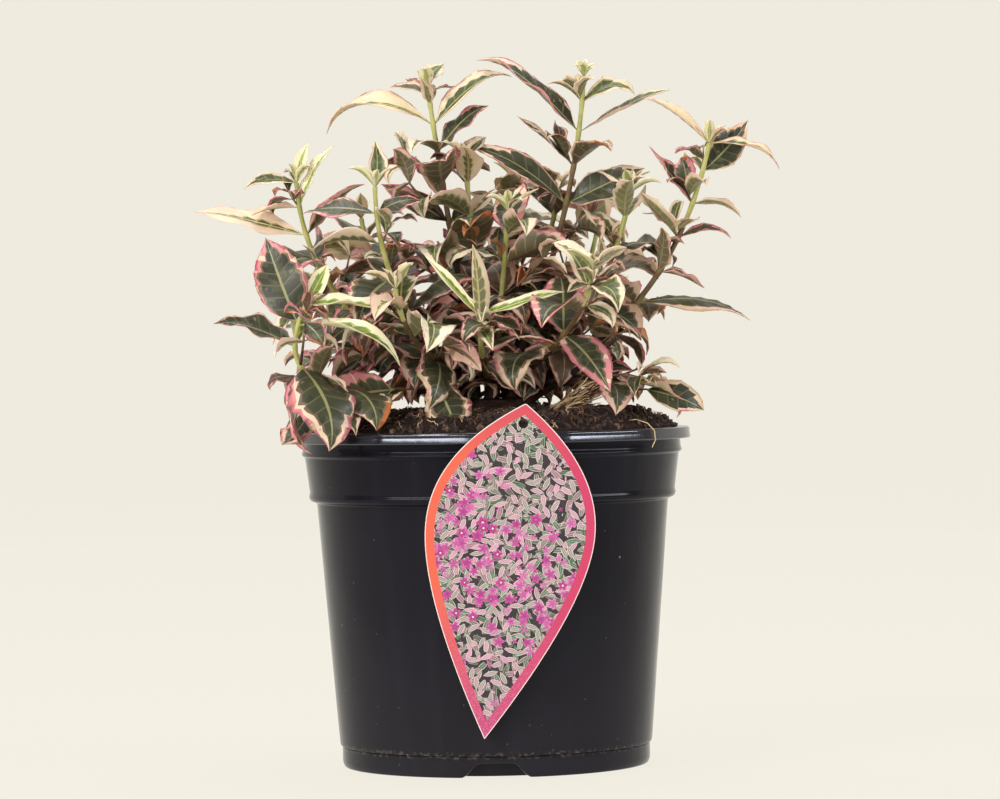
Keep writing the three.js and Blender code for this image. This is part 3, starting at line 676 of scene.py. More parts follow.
def onLabel(flat, depth):
    # points of the flat card, depth measured from its back, where the label hangs
    turn, lean = math.radians(label["turn"]), math.radians(label["lean"])
    x = flat[:, 0] * math.cos(turn) + flat[:, 1] * math.sin(turn)
    z = flat[:, 1] * math.cos(turn) - flat[:, 0] * math.sin(turn)
    y = np.full(len(flat), 0.0) - depth
    leant = [x, y * math.cos(lean) - z * math.sin(lean), y * math.sin(lean) + z * math.cos(lean)]
    return np.stack(leant, 1) + label["top"]


def cellParts(net, randomness):
    # where a point lies from the middle of its cell, where that middle is, and three lots of the cell
    inputs = {"Vector": net["Vector"], "Scale": net["Scale"], "Randomness": randomness}
    middle, colour = net.node("TexVoronoi", inputs, ("Position", "Color"))
    local = net.vector("SUBTRACT", net["Vector"], middle)
    return local, middle, net.node("SeparateColor", {0: colour}, (0, 1, 2))


def makeBlossoms():
    # five-petalled blossoms, one in a cell, where the drift reaches
    net = groupNet("blossoms", {"Vector": "Vector", "Scale": 8.0, "Size": 0.06, "Drift": 0.5})
    local, middle, lot = cellParts(net, 0.85)
    x, y = net.node("SeparateXYZ", {0: local}, (0, 1))
    away = net.node("VectorMath", {0: local}, "Value", operation="LENGTH")
    turn = net.math("ARCTAN2", y, x) + lot[0] * 6.28
    reach = (abs(net.math("COSINE", turn * 2.5)) * 0.45 + 0.55) * net["Size"]
    x, y = net.node("SeparateXYZ", {0: middle}, (0, 1))
    held = lot[1] < 1.05 - abs(x * 0.55 + y + 0.98) / net["Drift"]
    eye = (away < net["Size"] * 0.2) * held
    depth = net.math("DIVIDE", away, reach, True)
    return net.give(Mask=(away < reach) * held, Eye=eye, Depth=depth, Chance=lot[2])


def makeSprays():
    # pointed leaves lying at every angle, each with its margin and midrib
    net = groupNet("sprays", {"Vector": "Vector", "Scale": 8.0, "Length": 0.08, "Width": 0.03})
    local, _, lot = cellParts(net, 0.95)
    turned = net.node("VectorRotate", {"Vector": local, "Angle": lot[0] * 6.28}, rotation_type="Z_AXIS")
    x, y = net.node("SeparateXYZ", {0: turned}, (0, 1))
    share, aside = x / net["Length"], abs(y)
    half = (1.0 - share * share) * net["Width"]
    return net.give(
        Mask=aside < half, Margin=aside > half * 0.74, Rib=aside < net["Width"] * 0.05, Chance=lot[1]
    )


def makePrint():
    net = materialNet("printedCard")
    place = net.node("UVMap", uv_map="card")
    rim = net.node("SeparateXYZ", {0: net.node("UVMap", uv_map="rim")})
    x, y = net.node("SeparateXYZ", {0: place}, (0, 1))
    colour = net.mix(net.noise(place, 14.0, 3.0), (28, 34, 34), (74, 58, 66))
    leafy = net.ramp(net.noise(place, 3.2, 2.0), 0.5, 0.62)
    sprays, blossoms = makeSprays(), makeBlossoms()
    for i, (scale, length, width, green, rosy, margin) in enumerate(label["sprays"]):
        moved = net.vector("ADD", place, (0.37 * i, 0.21 * i, 0.0))
        inputs = {"Vector": moved, "Scale": scale, "Length": length, "Width": width}
        mask, edge, rib, chance = net.use(sprays, inputs, ("Mask", "Margin", "Rib", "Chance"))
        rosier = net.math("SUBTRACT", chance, leafy * 0.8, True)
        ribbed = net.mix(rib, net.mix(rosier, green, rosy), margin)
        colour = net.mix(mask, colour, net.mix(edge, ribbed, margin))
    for scale, size, drift in label["blossoms"]:
        moved = net.vector("ADD", place, (0.0, 0.0, scale))
        inputs = {"Vector": moved, "Scale": scale, "Size": size, "Drift": drift}
        mask, eye, depth, chance = net.use(blossoms, inputs, ("Mask", "Eye", "Depth", "Chance"))
        rosy = net.mix(chance, (204, 78, 158), (232, 140, 196))
        deep = net.mix(net.math("POWER", depth, 2.0), (158, 52, 122), rosy)
        colour = net.mix(mask, colour, net.mix(eye, deep, (250, 226, 190)))
    border = net.mix(net.ramp(x, -0.3, 0.3), (232, 102, 76), (206, 62, 104))
    border = net.mix(net.ramp(y, -0.35, -0.05) * 0.7, border, (206, 74, 92))
    dots = net.node("TexVoronoi", {"Vector": place, "Scale": 120.0}, "Distance")
    speckled = net.mix(dots < 0.3, (190, 72, 132), (224, 140, 176))
    border = net.mix(net.ramp(y, -1.0, -1.8) * 0.85, border, speckled)
    colour = net.mix(rim < label["border"] / 100, colour, border)
    colour = net.mix(rim < label["paleLine"] / 100, colour, (248, 226, 222))
    uneven = net.grained(300.0, 0.26, 0.4, 0.00003)
    return net.finish({"Base Color": colour, "Specular IOR Level": 0.45, **uneven})


def makeLabel():
    right, outline = labelOutline()
    rows, columns = label["rows"], label["columns"]
    depths = [0.3, 12.0, 170.0, label["length"] - 0.3]
    down = -np.interp(np.linspace(0, 1, rows + 1), [0, 0.08, 0.92, 1], depths)
    half = np.interp(-down, -right[:, 1], right[:, 0])
    across = half[:, None] * np.linspace(-1, 1, columns + 1)
    flat = np.stack([across, np.repeat(down[:, None], columns + 1, 1)], -1).reshape(-1, 2)
    places = np.concatenate([onLabel(flat, label["thickness"]), onLabel(flat, 0.0)])
    ids = np.arange(len(flat)).reshape(rows + 1, columns + 1)
    quads = np.stack([ids[:-1, :-1], ids[1:, :-1], ids[1:, 1:], ids[:-1, 1:]], -1).reshape(-1, 4)
    ring = np.concatenate([ids[0, :-1], ids[:-1, -1], ids[-1, :0:-1], ids[:0:-1, 0]])
    after = np.roll(ring, -1)
    sides = np.stack([ring, ring + len(flat), after + len(flat), after], -1)
    faces = np.concatenate([quads, quads[:, ::-1] + len(flat), sides])
    slots = np.arange(len(faces)) >= len(quads)
    card = meshObject("labelCard", places, faces, [makePrint(), finish["whiteCard"]], slots, False)
    rim = edgeDistance(flat, outline) / 100
    corner = faces.ravel() % len(flat)
    for title, values in (("card", flat / 100), ("rim", np.stack([rim, 0 * rim], 1))):
        card.data.uv_layers.new(name=title).data.foreach_set("uv", values[corner].ravel())
    return cut(card, makePunch())


def makePunch():
    turns = np.arange(32) * 2 * math.pi / 32
    radius, down = label["hole"]["radius"], label["hole"]["down"]
    ring = np.stack([radius * np.cos(turns), radius * np.sin(turns) - down], 1)
    sides = [(i, i + 32, (i + 1) % 32 + 32, (i + 1) % 32) for i in range(32)]
    faces = sides + [range(32), range(63, 31, -1)]
    places = np.concatenate([onLabel(ring, 3.0), onLabel(ring, -3.0)])
    return meshObject("labelPunch", places, faces, [finish["whiteCard"]])


def makeTongue():
    # a strip over the lip: from the card's back, across and down into the compost
    half, bend, back = tongue["thickness"] / 2, tongue["bend"], tongue["back"]
    over = pot["lipTop"] + 0.3 + half
    turns = np.linspace(0, math.pi / 2, 8)
    corner = [(back - bend + bend * math.sin(a), over - bend + bend * math.cos(a)) for a in turns]
    line = np.array([(tongue["front"], over), (tongue["lip"], over), *corner, (back, tongue["foot"])])
    along = np.gradient(line, axis=0)
    normal = np.stack([-along[:, 1], along[:, 0]], 1) / np.linalg.norm(along, axis=1)[:, None]
    places, faces = [], []
    for point, off in zip(line, normal):
        for x, side in ((-0.5, 1), (0.5, 1), (0.5, -1), (-0.5, -1)):
            places.append((tongue["x"] + x * tongue["width"], *(point + off * half * side)))
    last = 4 * len(line) - 4
    for first in range(0, last, 4):
        faces += [(first + k, first + 4 + k, first + 4 + j, first + j) for k, j in around]
    faces += [(0, 1, 2, 3), (last + 3, last + 2, last + 1, last)]
    return meshObject("labelTongue", places, faces, [finish["whiteCard"]], smooth=False)


for labelPiece in (makeLabel(), makeTongue()):
    own(labelPiece, "label", "label")
print("label made")

# The growth rule, which repeats the solids' own, with the same draws in the same order.
# Each leader: its tip, how far out and up its path bends, the turn of its first leaves and their length, and
# for some the chance of a twig.
leaders = {
    "top_right": ((54, -4, 378), 0.85, 0.45, 90, 50),
    "top_left": ((-32, -6, 373), 0.7, 0.65, 90, 50),
    "right_high": ((122, -18, 340), 0.75, 0.18, 0, 54, 0.25),
    "left_high": ((-105, -12, 322), 0.95, 0.3, 0, 48),
    "left_mid": ((-61, -42, 318), 1.0, 0.35, 0, 48),
    "centre": ((11, -30, 304), 0.5, 0.5, 15, 48),
    "right_mid": ((78, -14, 313), 0.8, 0.35, -10, 52),
    "left_low": ((-98, -78, 254), 1.4, -0.35, 0, 52, 0.25),
    "front_centre": ((-5, -70, 247), 1.15, 0.4, 0, 44),
    "front_right": ((56, -72, 270), 0.8, 0.35, 30, 54),
    "front_left": ((-50, -74, 262), 0.9, 0.3, -15, 50),
    "right_low": ((84, -50, 211), 0.75, 0.25, 60, 40),
    "inner_left": ((-12, -6, 334), 0.6, 0.45, 35, 46),
    "inner_right": ((40, 22, 318), 0.6, 0.45, 55, 50),
    "left_side": ((-98, 22, 266), 0.85, 0.2, 25, 48),
    "right_side": ((72, 46, 262), 0.85, 0.25, 70, 42),
    "back_top": ((16, 48, 322), 0.5, 0.5, 30, 50),
    "back_left": ((-72, 60, 304), 0.8, 0.35, 50, 46),
    "back_right": ((64, 74, 308), 0.8, 0.35, 10, 48),
    "back_centre": ((-4, 84, 286), 0.9, 0.3, 65, 50),
    "back_low_left": ((-72, 84, 244), 0.85, 0.2, 0, 50),
    "back_low_right": ((46, 86, 242), 0.85, 0.2, 20, 48),
}

# The leaves that give the shrub its outline: node from the tip, then azimuth, lean, length, droop, roll and
# width of each, and its tone where that isn't left to chance.
outlineLeaves = {
    "top_right": [
        (1, (180, 42, 24, 60, 20, 0.6, "fresh"), (0, 44, 36, 80, 20, 0.8, "fresh")),
        (2, (180, 49, 74, 24, -40, 0.55, "old"), (0, 48, 62, 0, 12, 0.5, "fresh")),
        (3, (180, 52, 42, 20, -20, 0.65, "old"), (-50, 35, 36, 80, 0, 1.2, "old")),
        (4, (180, 58, 64, 30, -40, 0.45, "old"), (0, 50, 48, 0, 45, 0.75, "old")),
    ],
    "top_left": [
        (1, (-90, 38, 22, 30, 0, 0.7, "fresh"), (90, 45, 26, 30, 0, 0.7, "fresh")),
        (2, (180, 46, 72, 100, -30, 0.45, "pale"), (0, 47, 58, 50, 40, 0.6, "fresh")),
        (3, (-110, 60, 38, 60, 0, 0.9, "fresh"), (0, 42, 40, 30, 45, 0.9, "old")),
        (5, (180, 50, 44, 10, -60, 0.6, "old"), (0, 66, 50, 50, 40, 0.9)),
    ],
    "right_high": [
        (0, (175, 58, 46, 24, -25, 0.5, "pale"), (0, 74, 46, 58, 25, 0.5, "pale")),
        (1, (0, 30, 40, 0, 60, 0.85, "old"), (120, 60, 30, 60, 0, 0.8, "fresh")),
        (2, (175, 55, 40, 0, -40, 0.8, "old"), (0, 60, 30, 60, 0, 0.7)),
        (3, (0, 40, 34, 70, 25, 0.45, "old"), (200, 60, 36, 30, 0, 0.8)),
        (4, (180, 50, 46, 10, -60, 1.0, "old"), (0, 60, 28, 60, 20, 0.8)),
        (5, (0, 38, 66, 45, 25, 0.7, "old"), (180, 70, 44, 50, 0, 1.0)),
        (6, (0, 60, 30, 60, 0, 0.8), (180, 60, 44, 30, 0, 1.0)),
    ],
    "left_high": [
        (0, (0, 14, 24, 15, 60, 0.9, "young"), (180, 70, 32, 60, -20, 0.6, "fresh")),
        (1, (0, 30, 40, 20, 35, 0.6, "young"), (180, 80, 28, 20, 0, 0.8, "pale")),
        (2, (180, 56, 64, 12, -35, 0.55, "pale"), (0, 55, 44, 20, 0, 0.7, "old")),
    ],
    "left_mid": [
        (0, (60, 20, 28, 20, 60, 0.9, "fresh"), (200, 40, 20, 30, 0, 0.9)),
        (1, (180, 70, 42, 40, -40, 0.9, "old"), (0, 60, 28, 60, 40, 0.9, "old")),
        (2, (190, 60, 40, 50, 0, 1.0), (10, 80, 24, 60, 0, 0.9)),
    ],
    "left_low": [
        (0, (70, 10, 30, 10, 60, 0.9, "young"), (-5, 62, 54, 50, 35, 0.6, "young")),
        (1, (180, 38, 54, 10, -60, 0.95, "old"), (-25, 78, 66, 60, 20, 0.6, "young")),
        (2, (180, 60, 46, 20, -25, 0.7, "old"), (40, 30, 50, 10, 30, 0.7, "young")),
        (3, (-75, 110, 60, 70, 0, 1.15, "old"), (215, 130, 52, 40, 0, 0.7, "old")),
        (4, (-60, 100, 44, 30, 0, 0.8, "old"), (0, 60, 30, 60, 0, 0.9)),
    ],
    "front_centre": [
        (0, (185, 46, 46, 0, -35, 0.45, "young"), (0, 70, 50, 20, 40, 0.5, "young")),
        (1, (-80, 74, 30, 60, 0, 0.7, "fresh"), (95, 16, 48, 5, 0, 0.65, "pale")),
    ],
    "front_right": [(2, (20, 70, 36, 60, 0, 0.9), (226, 60, 54, 60, 0, 1.0))],
}

crown = {"r": 25.0, "height": 8.0, "flare": 34.0, "lobes": 5, "lobeDepth": 0.14, "foot": 193.8}
growth = {
    "footShare": 0.2,
    "footMost": 20.5,
    "footSpacing": 6.6,
    "stemFrom": 202.1,
    "rise": 16.0,
    "foliageFrom": 0.24,
    "stemRadii": [(0.0, 3.2), (0.02, 2.6), (0.24, 2.0), (1.0, 1.2)],
    "internode": 17.0,
    "sunk": 0.4,
    "leafWidth": 0.48,
    "leafThickness": 0.007,
    "leafFold": 0.1,
    "twigChance": 0.6,
    "twigLength": 28.0,
    "twigRadius": 0.8,
    "twigLeaf": 29.0,
    "gap": 0.3,
    "clear": {"rim": 114.0, "above": 3.0, "labelFront": -100.0, "labelSide": 53.0, "labelTop": 203.2},
    "tries": [(0, 0), (14, -6), (-14, 6), (27, 8), (-27, -12), (40, -18), (-40, 14), (8, -28), (-8, 24)],
}
# the stations of a blade, as shares of its length and of its width
wholeLeaf = [(0.28, 0.48), (0.62, 0.42)]
smallLeaf = [(0.42, 0.5)]


def stemFeet():
    # where the stems stand on the crown, pushed apart until none touch
    feet = [np.array(tip[:2], float) * growth["footShare"] for tip, *_ in leaders.values()]
    for _ in range(200):
        for i, foot in enumerate(feet):
            for other in feet[i + 1 :]:
                between = other - foot
                apart = math.hypot(*between)
                short = growth["footSpacing"] - apart
                if short > 0:
                    between *= short / 2 / apart
                    foot -= between
                    other += between
            reach = math.hypot(*foot)
            if reach > growth["footMost"]:
                foot *= growth["footMost"] / reach
    return feet


def leaderCurve(foot, tip, out, lift):
    # a leader's path as a function of t, from 0 at the crown to 1 at its tip
    start, end = np.array([*foot, growth["stemFrom"]]), np.array(tip, float)
    bend = start + (end - start) * np.array([out, out, lift])
    rise = start + up * growth["rise"]

    def point(t):
        s = 1 - t
        return s**3 * start + 3 * s * s * t * rise + 3 * s * t * t * bend + t**3 * end

    return point


def tangent(point, t):
    return unit(point(min(t + 1e-4, 1.0)) - point(max(t - 1e-4, 0.0)))


def outward(along, azimuth, lean):
    # a direction that leans out from a stem by an angle, on the side that an azimuth picks
    aside = np.array([math.cos(azimuth), math.sin(azimuth), 0.0])
    aside = unit(aside - along * (aside @ along))
    return along * math.cos(lean) + aside * math.sin(lean)


def pairOfLeaves(root, along, azimuth, length, age, draw):
    # opposite leaves at a node; age is 0 at the tip of a leader and 1 at its foot
    return [
        {
            "root": root,
            "along": along,
            "age": age,
            "azimuth": azimuth + side * math.pi + math.radians((draw() - 0.5) * 30),
            "lean": math.radians(36 + 42 * age + (draw() - 0.5) * 20),
            "length": length * (0.86 + 0.28 * draw()),
            "droop": math.radians(26 + 44 * age + 40 * draw()),
            "roll": math.radians((draw() - 0.5) * (30 + 50 * age)),
            "width": 0.88 + 0.24 * draw(),
        }
        for side in (0, 1)
    ]


def twigPlan(root, way, azimuth, size, at, draw):
    # a short side twig with a pair of small leaves on the way and a pair at its end
    length = growth["twigLength"] * size
    end = root + way * length + up * length * 0.18
    leafLength = growth["twigLeaf"] * (0.75 + 0.4 * draw())
    nodes = []
    for k, share in enumerate((0.97, 0.55)):
        place, turn = root + (end - root) * share, azimuth + k * math.pi / 2
        nodes.append(pairOfLeaves(place, way, turn, leafLength * (0.8 + 0.2 * k), 0.25 + 0.3 * k, draw))
    return {"root": root, "end": end, "nodes": nodes, "at": at}


def shootPlan(index, name, foot):
    # a leader's leaves, node by node from its tip down, and its side twigs
    tip, out, lift, turn, leafLength, *chance = leaders[name]
    draw = seeded(7001 + index * 131)
    point = leaderCurve(foot, tip, out, lift)
    steps = [point(t) for t in np.linspace(0, 1, 201)]
    length = sum(math.dist(a, b) for a, b in zip(steps, steps[1:]))
    start = growth["foliageFrom"]
    turn = math.radians(turn)
    count = max(4, math.floor(length * (1 - start) / growth["internode"] + 0.5))
    nodes = [pairOfLeaves(point(1.0), tangent(point, 1.0), turn, leafLength * 0.4, 0, draw)]
    shares, twigs = [1.0], []
    for k in range(1, count + 1):
        age = k / count
        t = 1 - (1 - start - 0.03) * (0.45 * age + 0.55 * age * age)
        root, along = point(t), tangent(point, t)
        azimuth = turn + math.radians(90 * k) + (draw() - 0.5) * 0.3
        size = leafLength * (0.6 + 0.9 * age if age < 0.45 else 1.15 - 0.33 * age)
        nodes.append(pairOfLeaves(root, along, azimuth, size, age, draw))
        shares.append(t)
        for side in (0, 1):
            grows = draw() < (chance or [growth["twigChance"]])[0]
            twigSize = 0.7 + 0.6 * draw()
            aside = azimuth + side * math.pi + 0.6
            way = outward(along, aside, math.radians(42 + 26 * draw()))
            twig = twigPlan(root, way, aside, twigSize, k, draw)
            if grows and age > 0.4:
                twigs.append(twig)
    for k, *pair in outlineLeaves.get(name, []):
        for leaf, (azimuth, lean, length, droop, roll, width, *tone) in zip(nodes[k], pair):
            angles = {"azimuth": azimuth, "lean": lean, "droop": droop, "roll": roll}
            leaf.update({key: math.radians(angle) for key, angle in angles.items()})
            leaf.update(length=length, width=width, tone=tone[0] if tone else None)
    return {"name": name, "point": point, "nodes": nodes, "shares": shares, "twigs": twigs, "sprigs": []}


def leafFrame(leaf):
    # the upper side of a leaf at its root, and its side
    way = leaf["way"]
    level = unit(up - way * way[2])
    aside = np.cross(way, level)
    face = level * math.cos(leaf["roll"]) + aside * math.sin(leaf["roll"])
    return face, np.cross(way, face)


def leafLine(leaf):
    # where the middle line of a leaf runs at a share u of its length, with its upper side and its side
    way, length = leaf["way"], leaf["length"]
    face, side = leafFrame(leaf)

    def at(u):
        bent = leaf["droop"] * u * (0.4 + 0.6 * u)
        fallen = bent * 0.45
        place = leaf["root"] - way * growth["sunk"] + way * length * u * math.cos(fallen)
        place = place - face * length * u * math.sin(fallen)
        return place, face * math.cos(bent) + way * math.sin(bent), side

    return at


def leafIsClear(leaf):
    # above the compost and the lip, and not in front of the label
    line, clear = leafLine(leaf), growth["clear"]
    for u in (0.4, 0.7, 1.0):
        x, y, z = line(u)[0]
        r = math.hypot(x, y)
        inPot = r < clear["rim"] and z < compostHeight(r) + clear["above"]
        atLabel = y < clear["labelFront"] and abs(x) < clear["labelSide"] and z < clear["labelTop"]
        if inPot or atLabel:
            return False
    return True


def testBlade(leaf, stations, spare):
    # a plain blade, thicker by what it has to keep clear, to test against everything placed before it
    line = leafLine(leaf)
    width = leaf["length"] * growth["leafWidth"] * leaf["width"]
    thickness = leaf["length"] * growth["leafThickness"] + spare
    corners, faces = [line(0)[0]], []
    for u, half in stations:
        place, face, side = line(u)
        lifted = place + face * width * growth["leafFold"]
        corners += [lifted + side * width * half, place + face * thickness]
        corners += [lifted - side * width * half, place - face * thickness]
    corners.append(line(1)[0])
    last = len(corners) - 1
    for i, j in around:
        faces.append((0, 1 + i, 1 + j))
        faces += [(ring + i, ring + 4 + i, ring + 4 + j, ring + j) for ring in range(1, last - 4, 4)]
        faces.append((last - 4 + i, last, last - 4 + j))
    return np.array(corners), faces


def testBar(places, radii):
    # a square bar along a line, to test leaves against stems and twigs
    corners, faces = [], []
    for i, place in enumerate(places):
        along = unit(places[min(i + 1, len(places) - 1)] - places[max(i - 1, 0)])
        across = unit(np.cross(along, [0.31, 0.95, 0.05]))
        other = np.cross(across, along)
        corners += [place + across * radii[i], place + other * radii[i]]
        corners += [place - across * radii[i], place - other * radii[i]]
        if i:
            first = 4 * (i - 1)
            faces += [(first + k, first + j, first + 4 + j, first + 4 + k) for k, j in around]
    return np.array(corners), faces


class Crowd:
    # what has been placed so far, each with its box, its tree and its owner

    def __init__(self):
        self.low, self.high = np.zeros((2, 4096, 3))
        self.trees, self.owners = [], []

    def add(self, corners, faces, owner):
        count = len(self.trees)
        self.low[count], self.high[count] = corners.min(0), corners.max(0)
        self.trees.append(BVHTree.FromPolygons(corners.tolist(), faces))
        self.owners.append(owner)

    def clearOf(self, corners, faces, kin):
        # True if it touches nothing but its kin
        count = len(self.trees)
        near = (self.low[:count] <= corners.max(0)) & (self.high[:count] >= corners.min(0))
        others = [i for i in np.flatnonzero(near.all(1)) if self.owners[i] not in kin]
        if not others:
            return True
        tree = BVHTree.FromPolygons(corners.tolist(), faces)
        return not any(tree.overlap(self.trees[i]) for i in others)


crowd = Crowd()
placed = []  # every leaf that found room


def stemRadius(t):
    return np.interp(t, *zip(*growth["stemRadii"]))


def kinOf(shoot, k):
    # what grows from a node, and the leader itself
    return {(shoot["name"], "leader"), (shoot["name"], k)}


def growLeaf(leaf, stations, owner, kin, spare=growth["gap"], narrow=1.0):
    # the leaf in the first of its tries that touches nothing but its kin, which it may meet at its root
    for turn, tilt in growth["tries"]:
        azimuth, lean = leaf["azimuth"] + math.radians(turn), leaf["lean"] + math.radians(tilt)
        tried = {**leaf, "way": outward(leaf["along"], azimuth, lean)}
        if leafIsClear(tried):
            corners, faces = testBlade({**tried, "width": leaf["width"] * narrow}, stations, spare)
            if crowd.clearOf(corners, faces, kin):
                crowd.add(corners, faces, owner)
                placed.append(tried)
                return True
    return False


for nodeName in ("pot", "compost", "label", "crown"):
    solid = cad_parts[nodeName].data
    corners = np.array([v.co for v in solid.vertices]) / metre
    crowd.add(corners, [tuple(p.vertices) for p in solid.polygons], nodeName)
feet = stemFeet()
shoots = [shootPlan(i, name, feet[i]) for i, name in enumerate(leaders)]
for shoot in shoots:
    steps = np.linspace(0, 1, 16)
    crowd.add(*testBar([shoot["point"](t) for t in steps], stemRadius(steps)), (shoot["name"], "leader"))


def growShoots():
    # node by node from the tips down, one shoot after the other, as the solids grow
    for k in range(max(len(shoot["nodes"]) for shoot in shoots)):
        for shoot in shoots:
            for leaf in shoot["nodes"][k] if k < len(shoot["nodes"]) else []:
                leaf.update(shoot=shoot["name"], kind="leader")
                stations = wholeLeaf if k else smallLeaf
                leaf["grown"] = growLeaf(leaf, stations, (shoot["name"], k), kinOf(shoot, k))
    for shoot in shoots:
        for k, twig in enumerate(shoot["twigs"]):
            growTwig(shoot, twig, (shoot["name"], "twig", k), growth["twigRadius"], "twig")


def growTwig(shoot, twig, owner, radius, kind, narrow=1.0):
    corners, faces = testBar([twig["root"], twig["end"]], [radius, radius * 0.7])
    if crowd.clearOf(corners, faces, kinOf(shoot, twig["at"])):
        crowd.add(corners, faces, owner)
        shoot["sprigs"].append((twig["root"], twig["end"], radius, kind))
        for leaf in sum(twig["nodes"], []):
            leaf.update(shoot=shoot["name"], kind=kind)
            gap = growth["gap"] if kind == "twig" else finer["gap"]
            growLeaf(leaf, smallLeaf, owner, {owner}, gap, narrow)


# What the solids leave out: smaller leaves where a whole one found no room, a tuft at each tip, sprigs in the
# leaf axils and old short twigs on the bare lower stems.
finer = {
    "seed": 40961,
    "smaller": [0.85, 0.68, 0.52],
    "gap": 0.05,
    "narrow": 0.75,
    "tipNarrow": 0.6,
    "girth": 0.6,
    "sprigChance": 0.5,
    "sprig": ((6.0, 15.0), (15.0, 27.0)),  # lengths of the sprig and of its leaves
    "low": ((8.0, 22.0), (13.0, 26.0)),
    "tipLeaf": (9.0, 17.0),
    "lowShares": (0.13, 0.18, 0.22),
}


def growFiner():
    draw = seeded(finer["seed"])
    gap, girth, narrow = finer["gap"], finer["girth"], finer["narrow"]

    def between(low, high):
        return low + (high - low) * draw()

    def sprigPlan(shoot, t, at, azimuth, kind):
        root, stem = shoot["point"](t), tangent(shoot["point"], t)
        way = outward(stem, azimuth, math.radians(28 + 34 * draw()))
        length, leafLength = (between(*ends) for ends in finer[kind])
        end = root + way * length + up * length * 0.15
        pairs = [
            pairOfLeaves(root + (end - root) * share, way, azimuth + turn, leafLength * size, age, draw)
            for share, turn, size, age in ((0.98, 0.4, 0.8, 0.2), (0.5, 2.0, 1.0, 0.5))
        ]
        for leaf in sum(pairs, []):
            leaf["droop"] *= 0.45 if kind == "low" else 1.0
        return {"root": root, "end": end, "nodes": pairs, "at": at}

    for size in finer["smaller"]:
        for shoot in shoots:
            for k, pair in enumerate(shoot["nodes"]):
                owner, kin = (shoot["name"], k), kinOf(shoot, k)
                for leaf in pair:
                    if not leaf["grown"]:
                        less = {**leaf, "length": leaf["length"] * size}
                        leaf["grown"] = growLeaf(less, smallLeaf, owner, kin, gap, narrow)
    for shoot in shoots:
        name = shoot["name"]
        tip, along = shoot["point"](1.0), tangent(shoot["point"], 1.0)
        for turn in (50, 140):
            azimuth = math.radians(turn) + shoot["nodes"][0][0]["azimuth"]
            for leaf in pairOfLeaves(tip, along, azimuth, between(*finer["tipLeaf"]), 0, draw):
                leaf.update(shoot=name, kind="tip", lean=leaf["lean"] * 0.55)
                growLeaf(leaf, smallLeaf, (name, 0), kinOf(shoot, 0), gap, finer["tipNarrow"])
        for k, t in enumerate(shoot["shares"]):
            for side in (0, 1):
                azimuth = shoot["nodes"][k][side]["azimuth"] + (draw() - 0.5) * 0.8
                sprig = sprigPlan(shoot, t, k, azimuth, "sprig")
                if k and draw() < finer["sprigChance"]:
                    growTwig(shoot, sprig, (name, "sprig", k, side), girth, "sprig", narrow)
    for k, t in enumerate(finer["lowShares"]):
        for shoot in shoots:
            for side in (0, 1):
                sprig = sprigPlan(shoot, t, -1, draw() * 2 * math.pi, "low")
                growTwig(shoot, sprig, (shoot["name"], "low", k, side), girth, "low", narrow)


growShoots()
print("leaves placed by the solids' rule:", len(placed))

# An old bare branch in front of the crown, from the foot, with its radii at both ends.
bareBranch = {
    "line": [(17, -10, 197), (27, -18, 204), (40, -26, 212), (54, -33, 222), (69, -39, 234)],
    "radii": (2.1, 1.2),
}
branchLine = np.array(bareBranch["line"], float)
crowd.add(*testBar(branchLine, np.linspace(*bareBranch["radii"], len(branchLine))), "bareBranch")

# Old leaves that lie low over the compost and the rim: the leader and the share of its length that the twig
# of each comes from, then root, way, length, droop, roll and width.
lowLeaves = [
    ("front_left", 0.3, (-52, -54, 208), (-0.95, -0.2, -0.05), 40, 30, -55, 1.3),
    ("front_centre", 0.3, (-31, -64, 214), (0.42, -0.45, -0.72), 46, -20, 25, 1.1),
    ("right_low", 0.5, (84, -44, 206), (0.9, -0.3, -0.2), 36, 60, 40, 1.0),
    ("left_low", 0.45, (-96, -62, 200), (-0.35, -0.5, -0.75), 34, -30, 0, 1.1),
]
for name, share, root, way, length, droop, roll, width in lowLeaves:
    shoot = shoots[list(leaders).index(name)]
    root = np.array(root, float)
    shoot["sprigs"].append((shoot["point"](share), root, 0.8, "low"))
    leaf = {"root": root, "way": unit(np.array(way)), "length": length, "width": width, "tone": "old"}
    leaf.update(droop=math.radians(droop), roll=math.radians(roll), age=0.9, kind="leader", shoot=name)
    crowd.add(*testBlade(leaf, wholeLeaf, 0.1), "lowLeaf")
    placed.append(leaf)
growFiner()
print("leaves in all:", len(placed))

